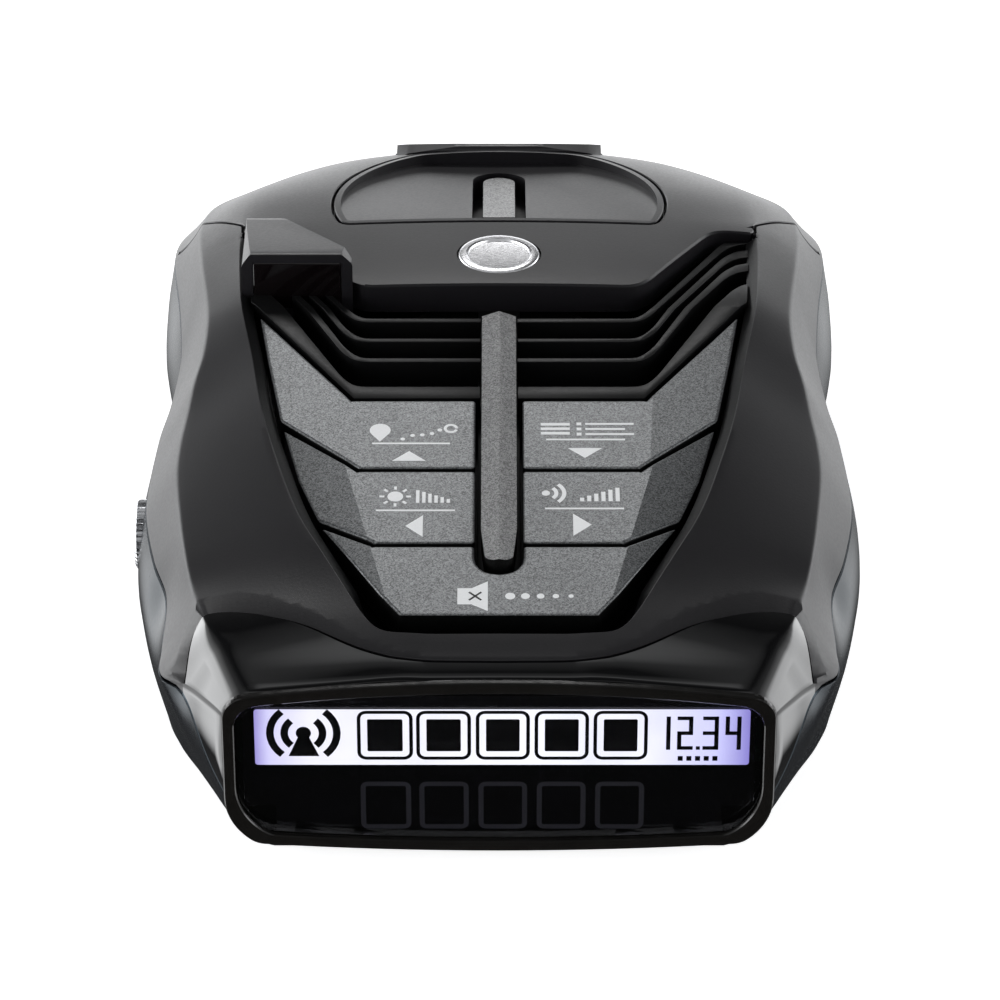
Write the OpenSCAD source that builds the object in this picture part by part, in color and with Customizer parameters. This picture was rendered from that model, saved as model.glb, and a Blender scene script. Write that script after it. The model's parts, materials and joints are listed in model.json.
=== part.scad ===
// Windshield radar detector: a low wedge-shaped car unit with a display at the
// driver's end (-Y), a sloping key panel, speaker louvres, a raised rear cover
// with a windshield-bracket bay, and a horn antenna looking out of the far end (+Y).
// Millimetres. The origin is the centre of the underside. +Z is up.

/* [Case] */
// Wall thickness of the moulded shells
wall = 1.8; // [1.6:0.1:2]
// Height of the underside's rounded edge
base_edge = 3; // [2.5:0.5:3.5]
// Distance between loft stations along the case
station = 3; // [2:1:5]

/* [Key panel] */
// Slope of the key panel, rising towards the windshield
panel_slope = 8; // [7:0.5:9]
// Height of the panel plane at its front end
panel_z = 22.8; // [22.4:0.1:23]
// Gap between neighbouring keys
key_gap = 0.5; // [0.4:0.1:0.7]
// Thickness of a key cap
key_t = 3.5; // [3.2:0.1:3.6]
// Angle by which the outer facets of the keys fall away
facet_angle = 10; // [6:1:12]
// Width of the centre spine bar
spine_w = 3.6; // [3:0.1:3.8]

/* [Speaker louvres] */
// Thickness of one louvre blade
blade_t = 0.9; // [0.7:0.1:1.1]
// Distance from blade to blade
blade_pitch = 3.5; // [3.2:0.1:3.7]
// Outer diameter of the speaker
speaker_d = 25; // [22:1:26]

/* [Display] */
// Width of the display rim
rim_w = 54; // [53:0.5:54]
// Height of the display rim
rim_h = 19.8; // [19:0.1:20]
// Width of the lit screen area
screen_w = 49.4; // [48:0.2:50]
// Height of the lit screen area
screen_h = 6.6; // [6:0.2:7]

/* [Windshield bracket] */
// Width of the bracket slot
slot_w = 22; // [20:1:23]
// Height of the bracket slot
slot_h = 4.7; // [4.4:0.1:4.8]
// Width of the release button
release_w = 3.56; // [3.2:0.01:3.6]

/* [Connectors and volume] */
// Bore of the power jack, for a 3.5 mm plug
jack_bore = 3.56; // [3.5:0.01:3.7]
// Diameter of the volume knob
knob_d = 7.6; // [7:0.1:8]
// How far the volume knob's centre stands up from the base
knob_z = 12; // [11.5:0.5:12.5]

/* [Hidden] */
$fn = 48;
eps = 0.01;

front_y = -54;
back_y = 54;
far = 60;

// Half sections of the case: each rail is a list of [y, x, z] along the body.
crown = [
    [-53, 0, 20.7], [-50.5, 0, 21.2], [-47, 0, 22.6], [-44, 0, 23.2], [-20, 0, 26.8],
    [0, 0, 29.8], [8.4, 0, 31.1], [25, 0, 30.6], [40, 0, 29.3], [46.5, 0, 28.1],
    [51, 0, 26], [54, 0, 24.5]
];
inner_edge = [
    [-53, 12, 20.6], [-50.5, 11.5, 21.1], [-47, 11.5, 22.5], [-44.5, 13, 23.1],
    [-37.7, 16.6, 24.2], [-29, 20.6, 25.5], [-14, 24.4, 27.5], [-2.5, 26.1, 29.1],
    [6.5, 27.6, 30.1], [19, 28.4, 29.8], [26, 28.4, 29.3], [36, 27, 27.9],
    [46.5, 22.5, 25.2], [54, 20, 22.4]
];
inner_crease = [
    [-53, 24.8, 19.2], [-50, 26.3, 20], [-47, 27.6, 20.7], [-43, 29, 21.2],
    [-35.7, 30.8, 20.7], [-30.7, 31.8, 21.2], [-24.9, 32.6, 21.7], [-17, 33.4, 22.4],
    [-12, 33.3, 23.2], [-7.8, 32.8, 24.25], [-3.7, 32.3, 25.6], [0.6, 31.5, 27],
    [7.2, 31.4, 28], [21.1, 32.9, 27.4], [30.2, 33.5, 26.1], [40, 32.8, 23.8],
    [47, 30.4, 21.8], [54, 26.5, 19.4]
];
outer_crease = [
    [-53, 27, 16.6], [-50, 28.9, 16.2], [-46.5, 31.2, 15.6], [-43.9, 33.7, 15],
    [-39.6, 33.8, 15.3], [-30.6, 33.8, 15.8], [-24.6, 35.4, 16.3], [-17.9, 36.6, 16.9],
    [-13.4, 36.9, 17.2], [-2, 36.3, 17.9], [4.1, 35.5, 18.3], [13.2, 34.9, 18.8],
    [18.2, 35.1, 19], [25.4, 35.7, 19], [38.4, 37.1, 18.4], [44, 36.6, 17.8],
    [49, 34.2, 17.2], [54, 29.8, 16.4]
];
side_bulge = [
    [-53, 27.2, 10], [-50, 28.8, 10], [-46.5, 30.6, 10], [-43.9, 32, 10],
    [-35.1, 34.8, 10], [-30.4, 35.9, 10], [-21.6, 37.4, 10], [-15, 37.9, 10],
    [-8, 38, 10], [0, 37.4, 10], [8, 36, 10], [17, 36.3, 10], [27.7, 37.7, 10],
    [36, 38.1, 10], [42, 37.8, 10], [48, 35.6, 10], [54, 30.8, 10]
];
base_rail = [
    [-53, 25.4, 3], [-49.9, 27, 3], [-45.2, 29, 3], [-41.5, 30.7, 3], [-38, 32.4, 3],
    [-33.9, 33.7, 3], [-20, 35.4, 3], [-8, 36, 3], [8, 33.8, 3], [17, 34.2, 3],
    [30, 35.8, 3], [42, 35.4, 3], [49, 32.6, 3], [54, 28.4, 3]
];
// The case stands on this flat; its front corner lifts a little under the display.
foot_inset = 3.2;
front_lift = [[-53, 0.9], [-48, 0.2], [-45, 0], [54, 0]];

// Height of the seam between the upper shells and the bottom housing, along the case
seam_line = [
    [-54, 2.6], [-53.2, 4], [-46.5, 15.2], [-43.9, 15], [-30.6, 15.7], [-17.9, 16.7],
    [-2, 17.6], [13, 18.5], [25.4, 18.7], [38.4, 18.1], [54, 16.4]
];

// Plan outlines, right half, from the centre line outwards
opening_edge = [
    [0, -47.4], [10.9, -47.4], [13, -45.6], [16.6, -37.7], [20.6, -29], [24.4, -14],
    [26.1, -2.5], [26.7, 0.7], [27.6, 6.3], [28.3, 18], [28.4, 26.4]
];
hood_seam = [
    [0, -50.5], [9.5, -50.4], [14.5, -48.4], [19.5, -44.9], [24.5, -42.5],
    [28.2, -41.6], [30.2, -42.4], [31.1, -46.5]
];
cover_front = [[0, 8.4], [14.4, 8.4], [16, 9.6], [23, 21.8], [24.4, 22.8], [28.4, 22.9]];
cover_side = [[28.4, 25.4], [33.4, 33.3], [37.1, 39], [42, 46]];
lip_depth = 3.4;
lip_t = 1.5;

// Key outlines on the panel plane: u across, v up the slope from its front end
panel_y = -46.5;
panel_front = 1.5;
split_low = 12.3;
split_high = 24.3;
panel_back = 35.8;
spine_tip_v = 9.1;
tip_r = 1.45;
spine_back_v = 50.3;
spine_slot = 2.45;
first_blade = 42.4;
key_travel = 0.55;
board_depth = 8;
board_t = 1.2;

// Display: heights of the rim's centre and the lit area's centre
rim_z = 10.9;
screen_z = 12.95;

// Rear sensor pod on the left of the rear cover: its plan and its side profile
pod_plan = [
    [-27.6, 8.3], [-15.7, 8.3], [-15.8, 9.4], [-18.4, 12.9], [-21, 16.3], [-23, 19],
    [-24.6, 20.8], [-25, 22.9], [-27.6, 22.9]
];
pod_side = [[8, 25.6], [8, 34.8], [19.6, 33.3], [22.6, 31.2], [23, 30.4], [23, 25.6]];
pod_left = -27.6;
pod_right = -15.7;
pod_front = 8.3;
pod_top = 34.8;
pod_floor = 25.6;
pod_wall = 1.2;
window_z = 28.2;

// Windshield bracket bay
bay_front = 23.9;
bay_back = 46.6;
bay_floor_front = 30.4;
bay_slope = 9.5;
bay_rim = 0.9;
bay_plate = 1.4;
pocket_margin = 1.2;
pocket_floor = 24.6;
slot_z = 18.2;
slot_mouth = 53.9;
slot_end = 29;
tunnel_wall = 1.1;
pill_front = 26.6;
pill_back = 41;
stem_y = 32.6;
release_travel = 1.2;
badge_y = 15.4;
badge_d = 9;
spool_top = slot_z + 3.2;
spool_bottom = slot_z + 0.6;
spring_seat = slot_z - 5.6;
cup_d = 7.4;

// Boards and what stands on them
board_z = 6;
pcb_t = 1.6;
post_places = [[-27, -31], [27, -31], [-29, 38], [29, 38]];
board_posts = [[-25, -38], [25, -38], [-28, 13], [19.5, 14]];
knob_y = -12;
knob_face = -38.3;
jack_y = 9;
jack_z = 11;
usb_y = -4;
window_w = 46;
window_h = 10.6;
horn_y = 37.6;
horn_z = 10;

// ---- rules ---------------------------------------------------------------

// Column c of a rail at y, on a smooth curve through the rail's points
function rail_at(t, y, c) =
    let (
        i = max([for (k = [0:len(t) - 2]) t[k][0] <= y ? k : 0]),
        a = t[max(i - 1, 0)],
        b = t[i],
        d = t[i + 1],
        e = t[min(i + 2, len(t) - 1)],
        h = d[0] - b[0],
        s = min(1, max(0, (y - b[0]) / h)),
        m = h * (d[c] - a[c]) / (d[0] - a[0]),
        n = h * (e[c] - b[c]) / (e[0] - b[0])
    )
    b[c] * (2 * pow(s, 3) - 3 * s * s + 1) + m * (pow(s, 3) - 2 * s * s + s)
    + d[c] * (3 * s * s - 2 * pow(s, 3)) + n * (pow(s, 3) - s * s);

// Right half of the case section at y, shrunk by t, from the crown to the base
function half_section(y, t) =
    let (
        top = rail_at(crown, y, 2),
        edge = [rail_at(inner_edge, y, 1), rail_at(inner_edge, y, 2)],
        shoulder = [rail_at(inner_crease, y, 1), rail_at(inner_crease, y, 2)],
        crease = [rail_at(outer_crease, y, 1), rail_at(outer_crease, y, 2)],
        bulge = [rail_at(side_bulge, y, 1), rail_at(side_bulge, y, 2)],
        foot = rail_at(base_rail, y, 1),
        lift = lookup(y, front_lift)
    )
    [
        [0, top - t],
        [edge[0] * 0.55, edge[1] + 0.72 * (top - edge[1]) - t],
        [edge[0] - 0.2 * t, edge[1] - t],
        [shoulder[0] - 0.75 * t, shoulder[1] - 0.85 * t],
        [crease[0] - t, crease[1] - 0.2 * t],
        [bulge[0] - t, bulge[1]],
        [foot - t, base_edge + lift * 0.5],
        [foot - foot_inset - 0.4 * t, lift + t],
        [0, lift + t]
    ];

function full_section(y, t) =
    let (h = half_section(y, t), n = len(h))
    concat(h, [for (k = [n - 2:-1:1]) [-h[k][0], h[k][1]]]);

function mirrored(half) =
    concat([for (k = [len(half) - 1:-1:0]) [-half[k][0], half[k][1]]], half);

// Solid of the case, shrunk by t on all sides
module case_solid(t) {
    first = -53 + t;
    last = back_y - t;
    count = ceil((last - first) / station);
    ys = [for (k = [0:count]) first + (last - first) * k / count];
    n = len(full_section(0, t));
    points = [for (y = ys) for (p = full_section(y, t)) [p[0], y, p[1]]];
    sides = [
        for (k = [0:count - 1]) for (j = [0:n - 1])
            let (
                a = k * n + j,
                b = k * n + (j + 1) % n,
                c = (k + 1) * n + (j + 1) % n,
                d = (k + 1) * n + j
            )
            each [[a, c, b], [a, d, c]]
    ];
    front = [[for (j = [0:n - 1]) j]];
    back = [[for (j = [n - 1:-1:0]) count * n + j]];
    polyhedron(points, concat(sides, front, back));
}

module case_shell() {
    difference() {
        case_solid(0);
        case_solid(wall);
    }
}

// Everything above the seam between the shells
module above_seam() {
    rotate([90, 0, 90])
        translate([0, 0, -far])
            linear_extrude(2 * far)
                polygon(concat(seam_line, [[back_y + 1, 16.4], [back_y + 1, far], [-far, far], [-far, 2.6]]));
}

// Prism standing on a plan outline
module prism(points, low = -1, high = 40) {
    translate([0, 0, low]) linear_extrude(high - low) polygon(points);
}

module panel_opening() {
    prism(mirrored(opening_edge), 12, 40);
}

module hood_region() {
    prism(concat([[-far, -far], [-far, -46.5]], mirrored(hood_seam), [[far, -46.5], [far, -far]]));
}

module cover_region() {
    prism(concat(
        [[-far, 46]], [for (k = [3:-1:0]) [-cover_side[k][0], cover_side[k][1]]],
        mirrored(cover_front), cover_side, [[far, 46], [far, far], [-far, far]]
    ));
}

// Moves its children on to the sloping panel plane
module on_panel() {
    translate([0, panel_y, panel_z]) rotate([panel_slope, 0, 0]) children();
}

// Rectangle with true round corners
module rounded_rect(w, h, r) {
    square([w - 2 * r, h], center = true);
    square([w, h - 2 * r], center = true);
    for (x = [-1, 1]) for (y = [-1, 1])
        translate([x * (w / 2 - r), y * (h / 2 - r)]) circle(r);
}

// Front view outline of the display rim: long edges bowed slightly outwards, lower corners rounder
module rim_outline(shrink) {
    w = rim_w - 2 * shrink;
    h = rim_h - 2 * shrink;
    offset(2.6) offset(delta = -2.6) intersection() {
        hull()
            for (x = [-1, 1]) {
                translate([x * (w / 2 - 0.5), h / 2 - 0.5]) square(1, center = true);
                translate([x * (w / 2 - 6.4), 6.4 - h / 2]) circle(6.4);
            }
        translate([0, h / 2 - 190]) circle(190, $fn = 720);
        translate([0, 330 - h / 2]) circle(330, $fn = 720);
    }
}

// Extrudes a front-view outline from y0 to y1
module from_front(y0, y1) {
    translate([0, y1, 0]) rotate([90, 0, 0]) linear_extrude(y1 - y0) children();
}

// ---- shells --------------------------------------------------------------

module bottom_housing() {
    color("#2b2c2e") difference() {
        union() {
            difference() {
                case_shell();
                above_seam();
            }
            for (p = post_places)
                translate([p[0], p[1], 1]) cylinder(d = 6.4, h = 10.6);
            for (p = board_posts)
                translate([p[0], p[1], 1]) cylinder(d = 4.6, h = board_z - 1);
        }
        translate([0, 0, rim_z]) from_front(-56, -50) rim_outline(0.5);
        for (p = post_places) {
            translate([p[0], p[1], -1]) cylinder(d = 2.6, h = 14);
            translate([p[0], p[1], -1]) cylinder(d = 5, h = 4);
        }
        for (p = board_posts) translate([p[0], p[1], 2.4]) cylinder(d = 1.7, h = 6);
        translate([0, 0, horn_z]) from_front(51, 56) rounded_rect(window_w, window_h, 1.6);
        translate([-40, knob_y, knob_z]) rotate([0, 90, 0]) cylinder(d = knob_d + 0.8, h = 6);
        translate([30, jack_y, jack_z]) rotate([0, 90, 0]) cylinder(d = 7.4, h = 10);
        translate([33, usb_y - 4.3, 7.6]) cube([8, 8.6, 4.5]);
        translate([-19, -16, -1]) cube([38, 26, 1.5]);
    }
}

module top_frame() {
    color("#3c3c3f") {
        difference() {
            intersection() {
                case_shell();
                above_seam();
            }
            panel_opening();
            hood_region();
            cover_region();
        }
        for (p = post_places)
            if (p[1] < 0)
                translate([p[0], p[1], 11.6])
                    difference() {
                        cylinder(d = 5.6, h = 10);
                        translate([0, 0, -1]) cylinder(d = 1.9, h = 8);
                    }
    }
}

// The pod stands on its plan, under the lines of its side and front profiles
module pod_body() {
    intersection() {
        prism(pod_plan, pod_floor, pod_top + 1);
        rotate([90, 0, 90]) translate([0, 0, -30]) linear_extrude(20) polygon(pod_side);
        from_front(0, 30)
            polygon([
                [pod_left, pod_floor], [pod_left, pod_top - 1.4], [pod_left + 1, pod_top],
                [pod_right - 1.2, pod_top], [pod_right, pod_top - 1.2], [pod_right, pod_floor]
            ]);
    }
}

module cover_lip() {
    edge = mirrored(cover_front);
    inner = [for (k = [len(edge) - 1:-1:0]) [edge[k][0] * 0.985, edge[k][1] + lip_t]];
    intersection() {
        case_solid(0);
        prism(concat(edge, inner), 31.1 - lip_depth, 40);
    }
}

// Raised lip over the bracket slot: arched from side to side, sloping down to the windshield end
module slot_lip() {
    intersection() {
        rotate([90, 0, 90])
            translate([0, 0, -slot_w / 2 - 0.8])
                linear_extrude(slot_w + 1.6)
                    polygon([
                        [46.9, 25], [46.9, 28], [47.7, 28.4], [53.2, 25.3],
                        [53.9, 24.6], [53.9, 23.4], [48, 24.2]
                    ]);
        translate([0, 0, 28.4 - 62]) rotate([-90, 0, 0]) cylinder(r = 62, h = 60, $fn = 360);
        rotate([-90, 0, 0]) linear_extrude(60)
            polygon([[-11.8, -20], [-11.8, -26.8], [-10.4, -29], [10.4, -29], [11.8, -26.8], [11.8, -20]]);
    }
}

module bay_outline(grow) {
    offset(grow + 1.6) offset(delta = -1.6) translate([0, 30.4]) intersection() {
        circle(18.6);
        translate([-30, bay_front - 30.4]) square([60, bay_back - bay_front]);
    }
}

module rear_cover() {
    color("#454548") difference() {
        union() {
            intersection() {
                case_shell();
                above_seam();
                cover_region();
            }
            cover_lip();
            slot_lip();
            pod_body();
            for (p = post_places)
                if (p[1] > 0)
                    translate([p[0], p[1], 11.6]) cylinder(d = 5.6, h = 12.2);
        }
        for (p = post_places)
            if (p[1] > 0)
                translate([p[0], p[1], 10.6]) cylinder(d = 1.9, h = 8);
        pod_hollow();
        translate([0, 0, 18]) linear_extrude(30) bay_outline(0);
        translate([0, 0, slot_z + slot_h / 2])
            from_front(40, 56)
                square([slot_w + 2 * tunnel_wall, slot_h + 2 * tunnel_wall], center = true);
        translate([0, badge_y, 29.9]) cylinder(d = badge_d + 0.2, h = 4);
    }
}

module pod_hollow() {
    translate([pod_left + pod_wall, pod_front - 1, window_z])
        cube([pod_right - pod_left - 2 * pod_wall, 3.4, pod_top - window_z - 1.1]);
    translate([pod_left + pod_wall, pod_front - 1, window_z])
        cube([7, 9, pod_top - window_z - 2.4]);
}

module rear_sensor_window() {
    color("#0c0c0d")
        translate([pod_left + pod_wall + 0.05, pod_front, window_z + 0.05])
            cube([pod_right - pod_left - 2 * pod_wall - 0.1, 1.2, pod_top - window_z - 1.2]);
}

module rear_laser_sensor() {
    color("#1d1d20")
        translate([pod_left + pod_wall + 3.5, pod_front + 2, window_z + 2.1])
            rotate([-90, 0, 0]) {
                cylinder(d = 3.4, h = 3);
                translate([0, 0, 3]) cylinder(d = 4, h = 1.2);
            }
}

module badge() {
    color("#c8c8ca") translate([0, badge_y, 29.9]) difference() {
        cylinder(d = badge_d, h = 1.35);
        translate([0, 0, 1]) cylinder(d = badge_d - 2.4, h = 1);
    }
}

// ---- bracket bay and release button ---------------------------------------

module mount_bay() {
    color("#4a4a4d") difference() {
        union() {
            bay_plug();
            translate([-slot_w / 2 - tunnel_wall, slot_end - tunnel_wall, slot_z - tunnel_wall])
                cube([slot_w + 2 * tunnel_wall, slot_mouth - slot_end + tunnel_wall, slot_h + 2 * tunnel_wall]);
            translate([0, stem_y, spring_seat - 1.1]) cylinder(d = cup_d, h = slot_z - spring_seat);
        }
        translate([-slot_w / 2, slot_end, slot_z]) cube([slot_w, 40, slot_h]);
        translate([0, stem_y, spring_seat]) cylinder(d = 5.6, h = slot_z + slot_h - spring_seat + 0.3);
        translate([0, stem_y, slot_z]) cylinder(d = 3.4, h = 12);
        pill_outline(pocket_margin, pocket_floor, 40);
    }
}

// D-shaped insert: a rim flush with the roof, a sloping floor and a block round the button
module bay_plug() {
    difference() {
        intersection() {
            case_solid(0);
            linear_extrude(40) bay_outline(-0.1);
        }
        bay_above(0, -bay_rim);
        difference() {
            bay_under();
            pill_outline(2.4, 20, 40);
        }
        linear_extrude(slot_z + 4) bay_outline(1);
    }
}

// The space above the bay's floor plane, inside its rim
module bay_above(lower, grow) {
    intersection() {
        linear_extrude(40) bay_outline(grow);
        translate([0, bay_front, bay_floor_front - lower])
            rotate([-bay_slope, 0, 0])
                translate([-30, -5, 0])
                    cube([60, 40, 20]);
    }
}

// The space under the bay's floor plate
module bay_under() {
    intersection() {
        linear_extrude(40) bay_outline(-bay_rim - 0.1);
        translate([0, bay_front, bay_floor_front - bay_plate])
            rotate([-bay_slope, 0, 0])
                translate([-30, -5, -20])
                    cube([60, 40, 20]);
    }
}

module pill_outline(grow, low, high) {
    w = release_w / 2 + grow;
    translate([0, 0, low]) linear_extrude(high - low) union() {
        translate([-w, pill_front - grow]) square([2 * w, pill_back - pill_front - w + 2 * grow]);
        translate([0, pill_back - w + grow]) circle(w);
    }
}

module release_button() {
    color("#77777a") {
        difference() {
            pill_outline(0, pocket_floor + release_travel + 0.1, 33);
            translate([0, bay_front, bay_floor_front - 0.2])
                rotate([-bay_slope, 0, 0])
                    translate([-10, -5, 0])
                        cube([20, 40, 10]);
        }
        translate([0, stem_y, spool_top - eps]) cylinder(d = 2.6, h = 5.4);
        translate([0, stem_y, spool_bottom]) cylinder(d = 5, h = spool_top - spool_bottom);
        translate([0, stem_y, spring_seat + 2.3]) cylinder(d = 2, h = spool_bottom - spring_seat - 2.2);
    }
}

// Round wire wound on a helix: ring is the coil's mean diameter
module wire_coil(ring, wire, height, turns, steps = 14) {
    count = turns * steps;
    sides = 8;
    points = [
        for (k = [0:count]) for (j = [0:sides - 1])
            let (
                turn = 360 * k / steps,
                out = ring / 2 + wire / 2 * cos(360 * j / sides),
                up = wire / 2 + (height - wire) * k / count + wire / 2 * sin(360 * j / sides)
            )
            [out * cos(turn), out * sin(turn), up]
    ];
    skin = [
        for (k = [0:count - 1]) for (j = [0:sides - 1])
            let (a = k * sides + j, b = k * sides + (j + 1) % sides)
            each [[a, b, b + sides], [a, b + sides, a + sides]]
    ];
    first = [[for (j = [sides - 1:-1:0]) j]];
    last = [[for (j = [0:sides - 1]) count * sides + j]];
    polyhedron(points, concat(skin, first, last));
}

module release_spring() {
    color("#b9bcc0")
        translate([0, stem_y, spring_seat])
            wire_coil(4.2, 0.5, spool_bottom - spring_seat - 0.05, 5);
}

// ---- key panel -------------------------------------------------------------

// Drops the outer part of a key by an angle below the crease that runs from a to b
module facet_cut(a, b, angle) {
    turn = atan2(b[0] - a[0], b[1] - a[1]);
    for (side = [0, 1])
        mirror([side, 0, 0])
            translate([a[0], a[1], 0])
                rotate([0, 0, -turn])
                    rotate([0, angle, 0])
                        translate([0, -30, 0])
                            cube([30, 90, 10]);
}

module key_cap(points, a, b, angle) {
    color("#5d5e61") on_panel() difference() {
        translate([0, 0, -key_t]) linear_extrude(key_t) polygon(points);
        facet_cut(a, b, angle);
    }
}

low_crease = [[10.6, panel_front], [15.3, 23.1]];
high_crease = [[15.3, 23.1], [16, 36.2]];
high_angle = 0.35 * facet_angle;
half_gap = key_gap / 2;

mute_half = [
    [0, panel_front], [9.7, panel_front], [11.6, 4.4], [15.7, 12], [17.9, 15.9],
    [12.6, split_low - half_gap], [spine_slot, split_low - half_gap],
    [spine_slot, spine_tip_v + 1.2], [2.3, spine_tip_v + 0.3], [1.9, spine_tip_v - 0.4],
    [1.3, spine_tip_v - 0.95], [0.65, spine_tip_v - 1.2], [0, spine_tip_v - 1.3]
];
middle_half = [
    [spine_slot, split_low + half_gap], [12.4, split_low + half_gap], [18.2, 16.9],
    [20.4, 23.4], [22.3, 32], [14.5, split_high - half_gap], [spine_slot, split_high - half_gap]
];
upper_half = [
    [spine_slot, split_high + half_gap], [14.3, split_high + half_gap], [22.6, 32.9],
    [24.3, 43], [25.5, 51.2], [15.3, panel_back], [spine_slot, panel_back]
];

function flipped(points) = [for (p = points) [-p[0], p[1]]];

module mute_key() {
    key_cap(both_halves(mute_half), low_crease[0], low_crease[1], facet_angle);
}

module dim_key() { key_cap(flipped(middle_half), low_crease[0], low_crease[1], facet_angle); }
module sensitivity_key() { key_cap(middle_half, low_crease[0], low_crease[1], facet_angle); }
module mark_key() { key_cap(flipped(upper_half), high_crease[0], high_crease[1], high_angle); }
module menu_key() { key_cap(upper_half, high_crease[0], high_crease[1], high_angle); }

module spine_bar() {
    color("#6b6c6f") on_panel() intersection() {
        rotate([90, 0, 0]) translate([0, 0, -spine_back_v])
            linear_extrude(spine_back_v)
                polygon([
                    [-spine_w / 2, -2.6], [spine_w / 2, -2.6], [spine_w / 2, 0.15],
                    [0, 0.85], [-spine_w / 2, 0.15]
                ]);
        translate([0, 0, -10]) linear_extrude(20) hull() {
            translate([0, spine_tip_v + tip_r]) circle(tip_r);
            translate([-spine_w / 2, spine_tip_v + 5.5])
                square([spine_w, spine_back_v - spine_tip_v]);
        }
    }
}

// Chevron band across the panel: straight in the middle, then rising outwards
function chevron(v, t) =
    let (path = [[0, v], [15, v], [16.4, v + 1.4], [24.8, v + 17.4], [26.2, v + 19], [30, v + 19.4]])
    concat(
        mirrored(path),
        [for (p = [for (k = [len(path) - 1:-1:0]) path[k]]) [p[0], p[1] + t]],
        [for (p = path) [-p[0], p[1] + t]]
    );

module louvre_band(v, t, low, high) {
    on_panel() translate([0, 0, low]) linear_extrude(high - low) polygon(chevron(v, t));
}

// Plan outline that the black insert fills: the frame opening up to the rear cover
insert_half = [
    [0, -47.35], [10.85, -47.35], [12.95, -45.6], [16.55, -37.7], [20.55, -29], [24.35, -14],
    [26.05, -2.5], [26.65, 0.7], [27.55, 6.3], [28.25, 18], [28.3, 22.8], [24.4, 22.7],
    [23, 21.7], [16, 9.5], [14.4, 8.3], [0, 8.3]
];

// Both halves of an outline whose first and last points lie on the centre line
function both_halves(half) =
    concat(half, [for (k = [len(half) - 2:-1:1]) [-half[k][0], half[k][1]]]);

module insert_outline() {
    prism(both_halves(insert_half), 10, 40);
}

// Room for the keys, with an even gap all round them
module key_room() {
    half = [
        [0, panel_front - 0.3], [9.9, panel_front - 0.3], [11.9, 4.2], [16, 12], [18.6, 16.6],
        [20.8, 23.4], [22.8, 32.5], [24.6, 43], [25.9, 52], [15.2, panel_back + 0.35], [0, panel_back + 0.35]
    ];
    on_panel() translate([0, 0, -20]) linear_extrude(40)
        polygon(both_halves(half));
}

// Slot that the spine bar lies in
module spine_room() {
    on_panel() translate([-spine_w / 2 - 0.05, 0, -2.65]) cube([spine_w + 0.1, 60, 10]);
}

module speaker_grille() {
    color("#131315") {
        difference() {
            intersection() {
                insert_outline();
                on_panel() translate([-40, -10, -5.2]) cube([80, 90, 5.2 - 0.5]);
                louvre_ceiling();
            }
            key_room();
            louvre_band(panel_back + 2.6, 30, -20, 10);
            pod_block();
            spine_room();
        }
        difference() {
            intersection() {
                insert_outline();
                louvre_ceiling();
                union() {
                    for (k = [0:2])
                        louvre_band(first_blade + k * blade_pitch, blade_t, -5.2, 0);
                    on_panel() for (side = [-1, 1])
                        translate([side * 27.4 - 1.6, 36, -5.2]) cube([3.2, 40, 4.4]);
                }
            }
            pod_block();
            key_room();
            spine_room();
        }
        on_panel() translate([-2.2, spine_tip_v + 2, -4.6]) cube([4.4, 48 - spine_tip_v, 1.95]);
        on_panel() translate([-4, spine_tip_v + 2, -5]) cube([8, 40 - spine_tip_v, 0.8]);
        on_panel() translate([-1.2, spine_tip_v + 2.4, -board_depth]) cube([2.4, 2.4, 4]);
    }
}

// Space under the line that the tops of the louvres follow
module louvre_ceiling() {
    rotate([90, 0, 90])
        translate([0, 0, -far])
            linear_extrude(2 * far)
                polygon([[-far, -far], [-far, 21], [panel_y, panel_z], [5, 30], [27, 28.6], [27, -far]]);
}

// Room that the louvres leave for the pod
module pod_block() {
    translate([0, 0, pod_floor - 0.1]) linear_extrude(20) offset(delta = 0.1) polygon(pod_plan);
}

module speaker_cloth() {
    color("#0a0a0a") on_panel() translate([0, 46, -5.7]) cylinder(d = speaker_d + 4, h = 0.45);
}

module key_board() {
    color("#1d5a34") on_panel() difference() {
        translate([0, 0, -board_depth - board_t])
            linear_extrude(board_t)
                polygon([[-13, 3], [13, 3], [20, 16], [20, 31.5], [-20, 31.5], [-20, 16]]);
        for (side = [-1, 1])
            translate([side * 17, 28.5, -board_depth - 4]) cylinder(d = 2.2, h = 8);
    }
}

switch_places = [[0, 5.4], [-8.5, 19.4], [8.5, 19.4], [-8.5, 28.6], [8.5, 28.6]];

module tact_switches() {
    color("#2f2f33") on_panel() for (p = switch_places)
        translate([p[0], p[1], -board_depth]) {
            translate([-2.9, -2.2, 0]) cube([5.8, 4.4, 3.1]);
            cylinder(d = 3, h = 3.8);
        }
}

// ---- speaker -----------------------------------------------------------------

module at_speaker() {
    on_panel() translate([0, 46, 0]) children();
}

module speaker_frame() {
    color("#8d9196") at_speaker() difference() {
        union() {
            translate([0, 0, -7.1]) cylinder(d = speaker_d, h = 1.3);
            translate([0, 0, -10]) cylinder(d1 = 15, d2 = speaker_d - 3, h = 3);
        }
        translate([0, 0, -11]) cylinder(d = 12.4, h = 2);
        translate([0, 0, -9.2]) cylinder(d1 = 12.4, d2 = speaker_d - 4.6, h = 2.3);
        translate([0, 0, -7]) cylinder(d = speaker_d - 4.6, h = 3);
    }
}

module speaker_cone() {
    color("#26262a") at_speaker() difference() {
        translate([0, 0, -8.6]) cylinder(d1 = 10, d2 = speaker_d - 6, h = 2.2);
        translate([0, 0, -8.1]) cylinder(d1 = 10, d2 = speaker_d - 6, h = 2.2);
    }
}

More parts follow.
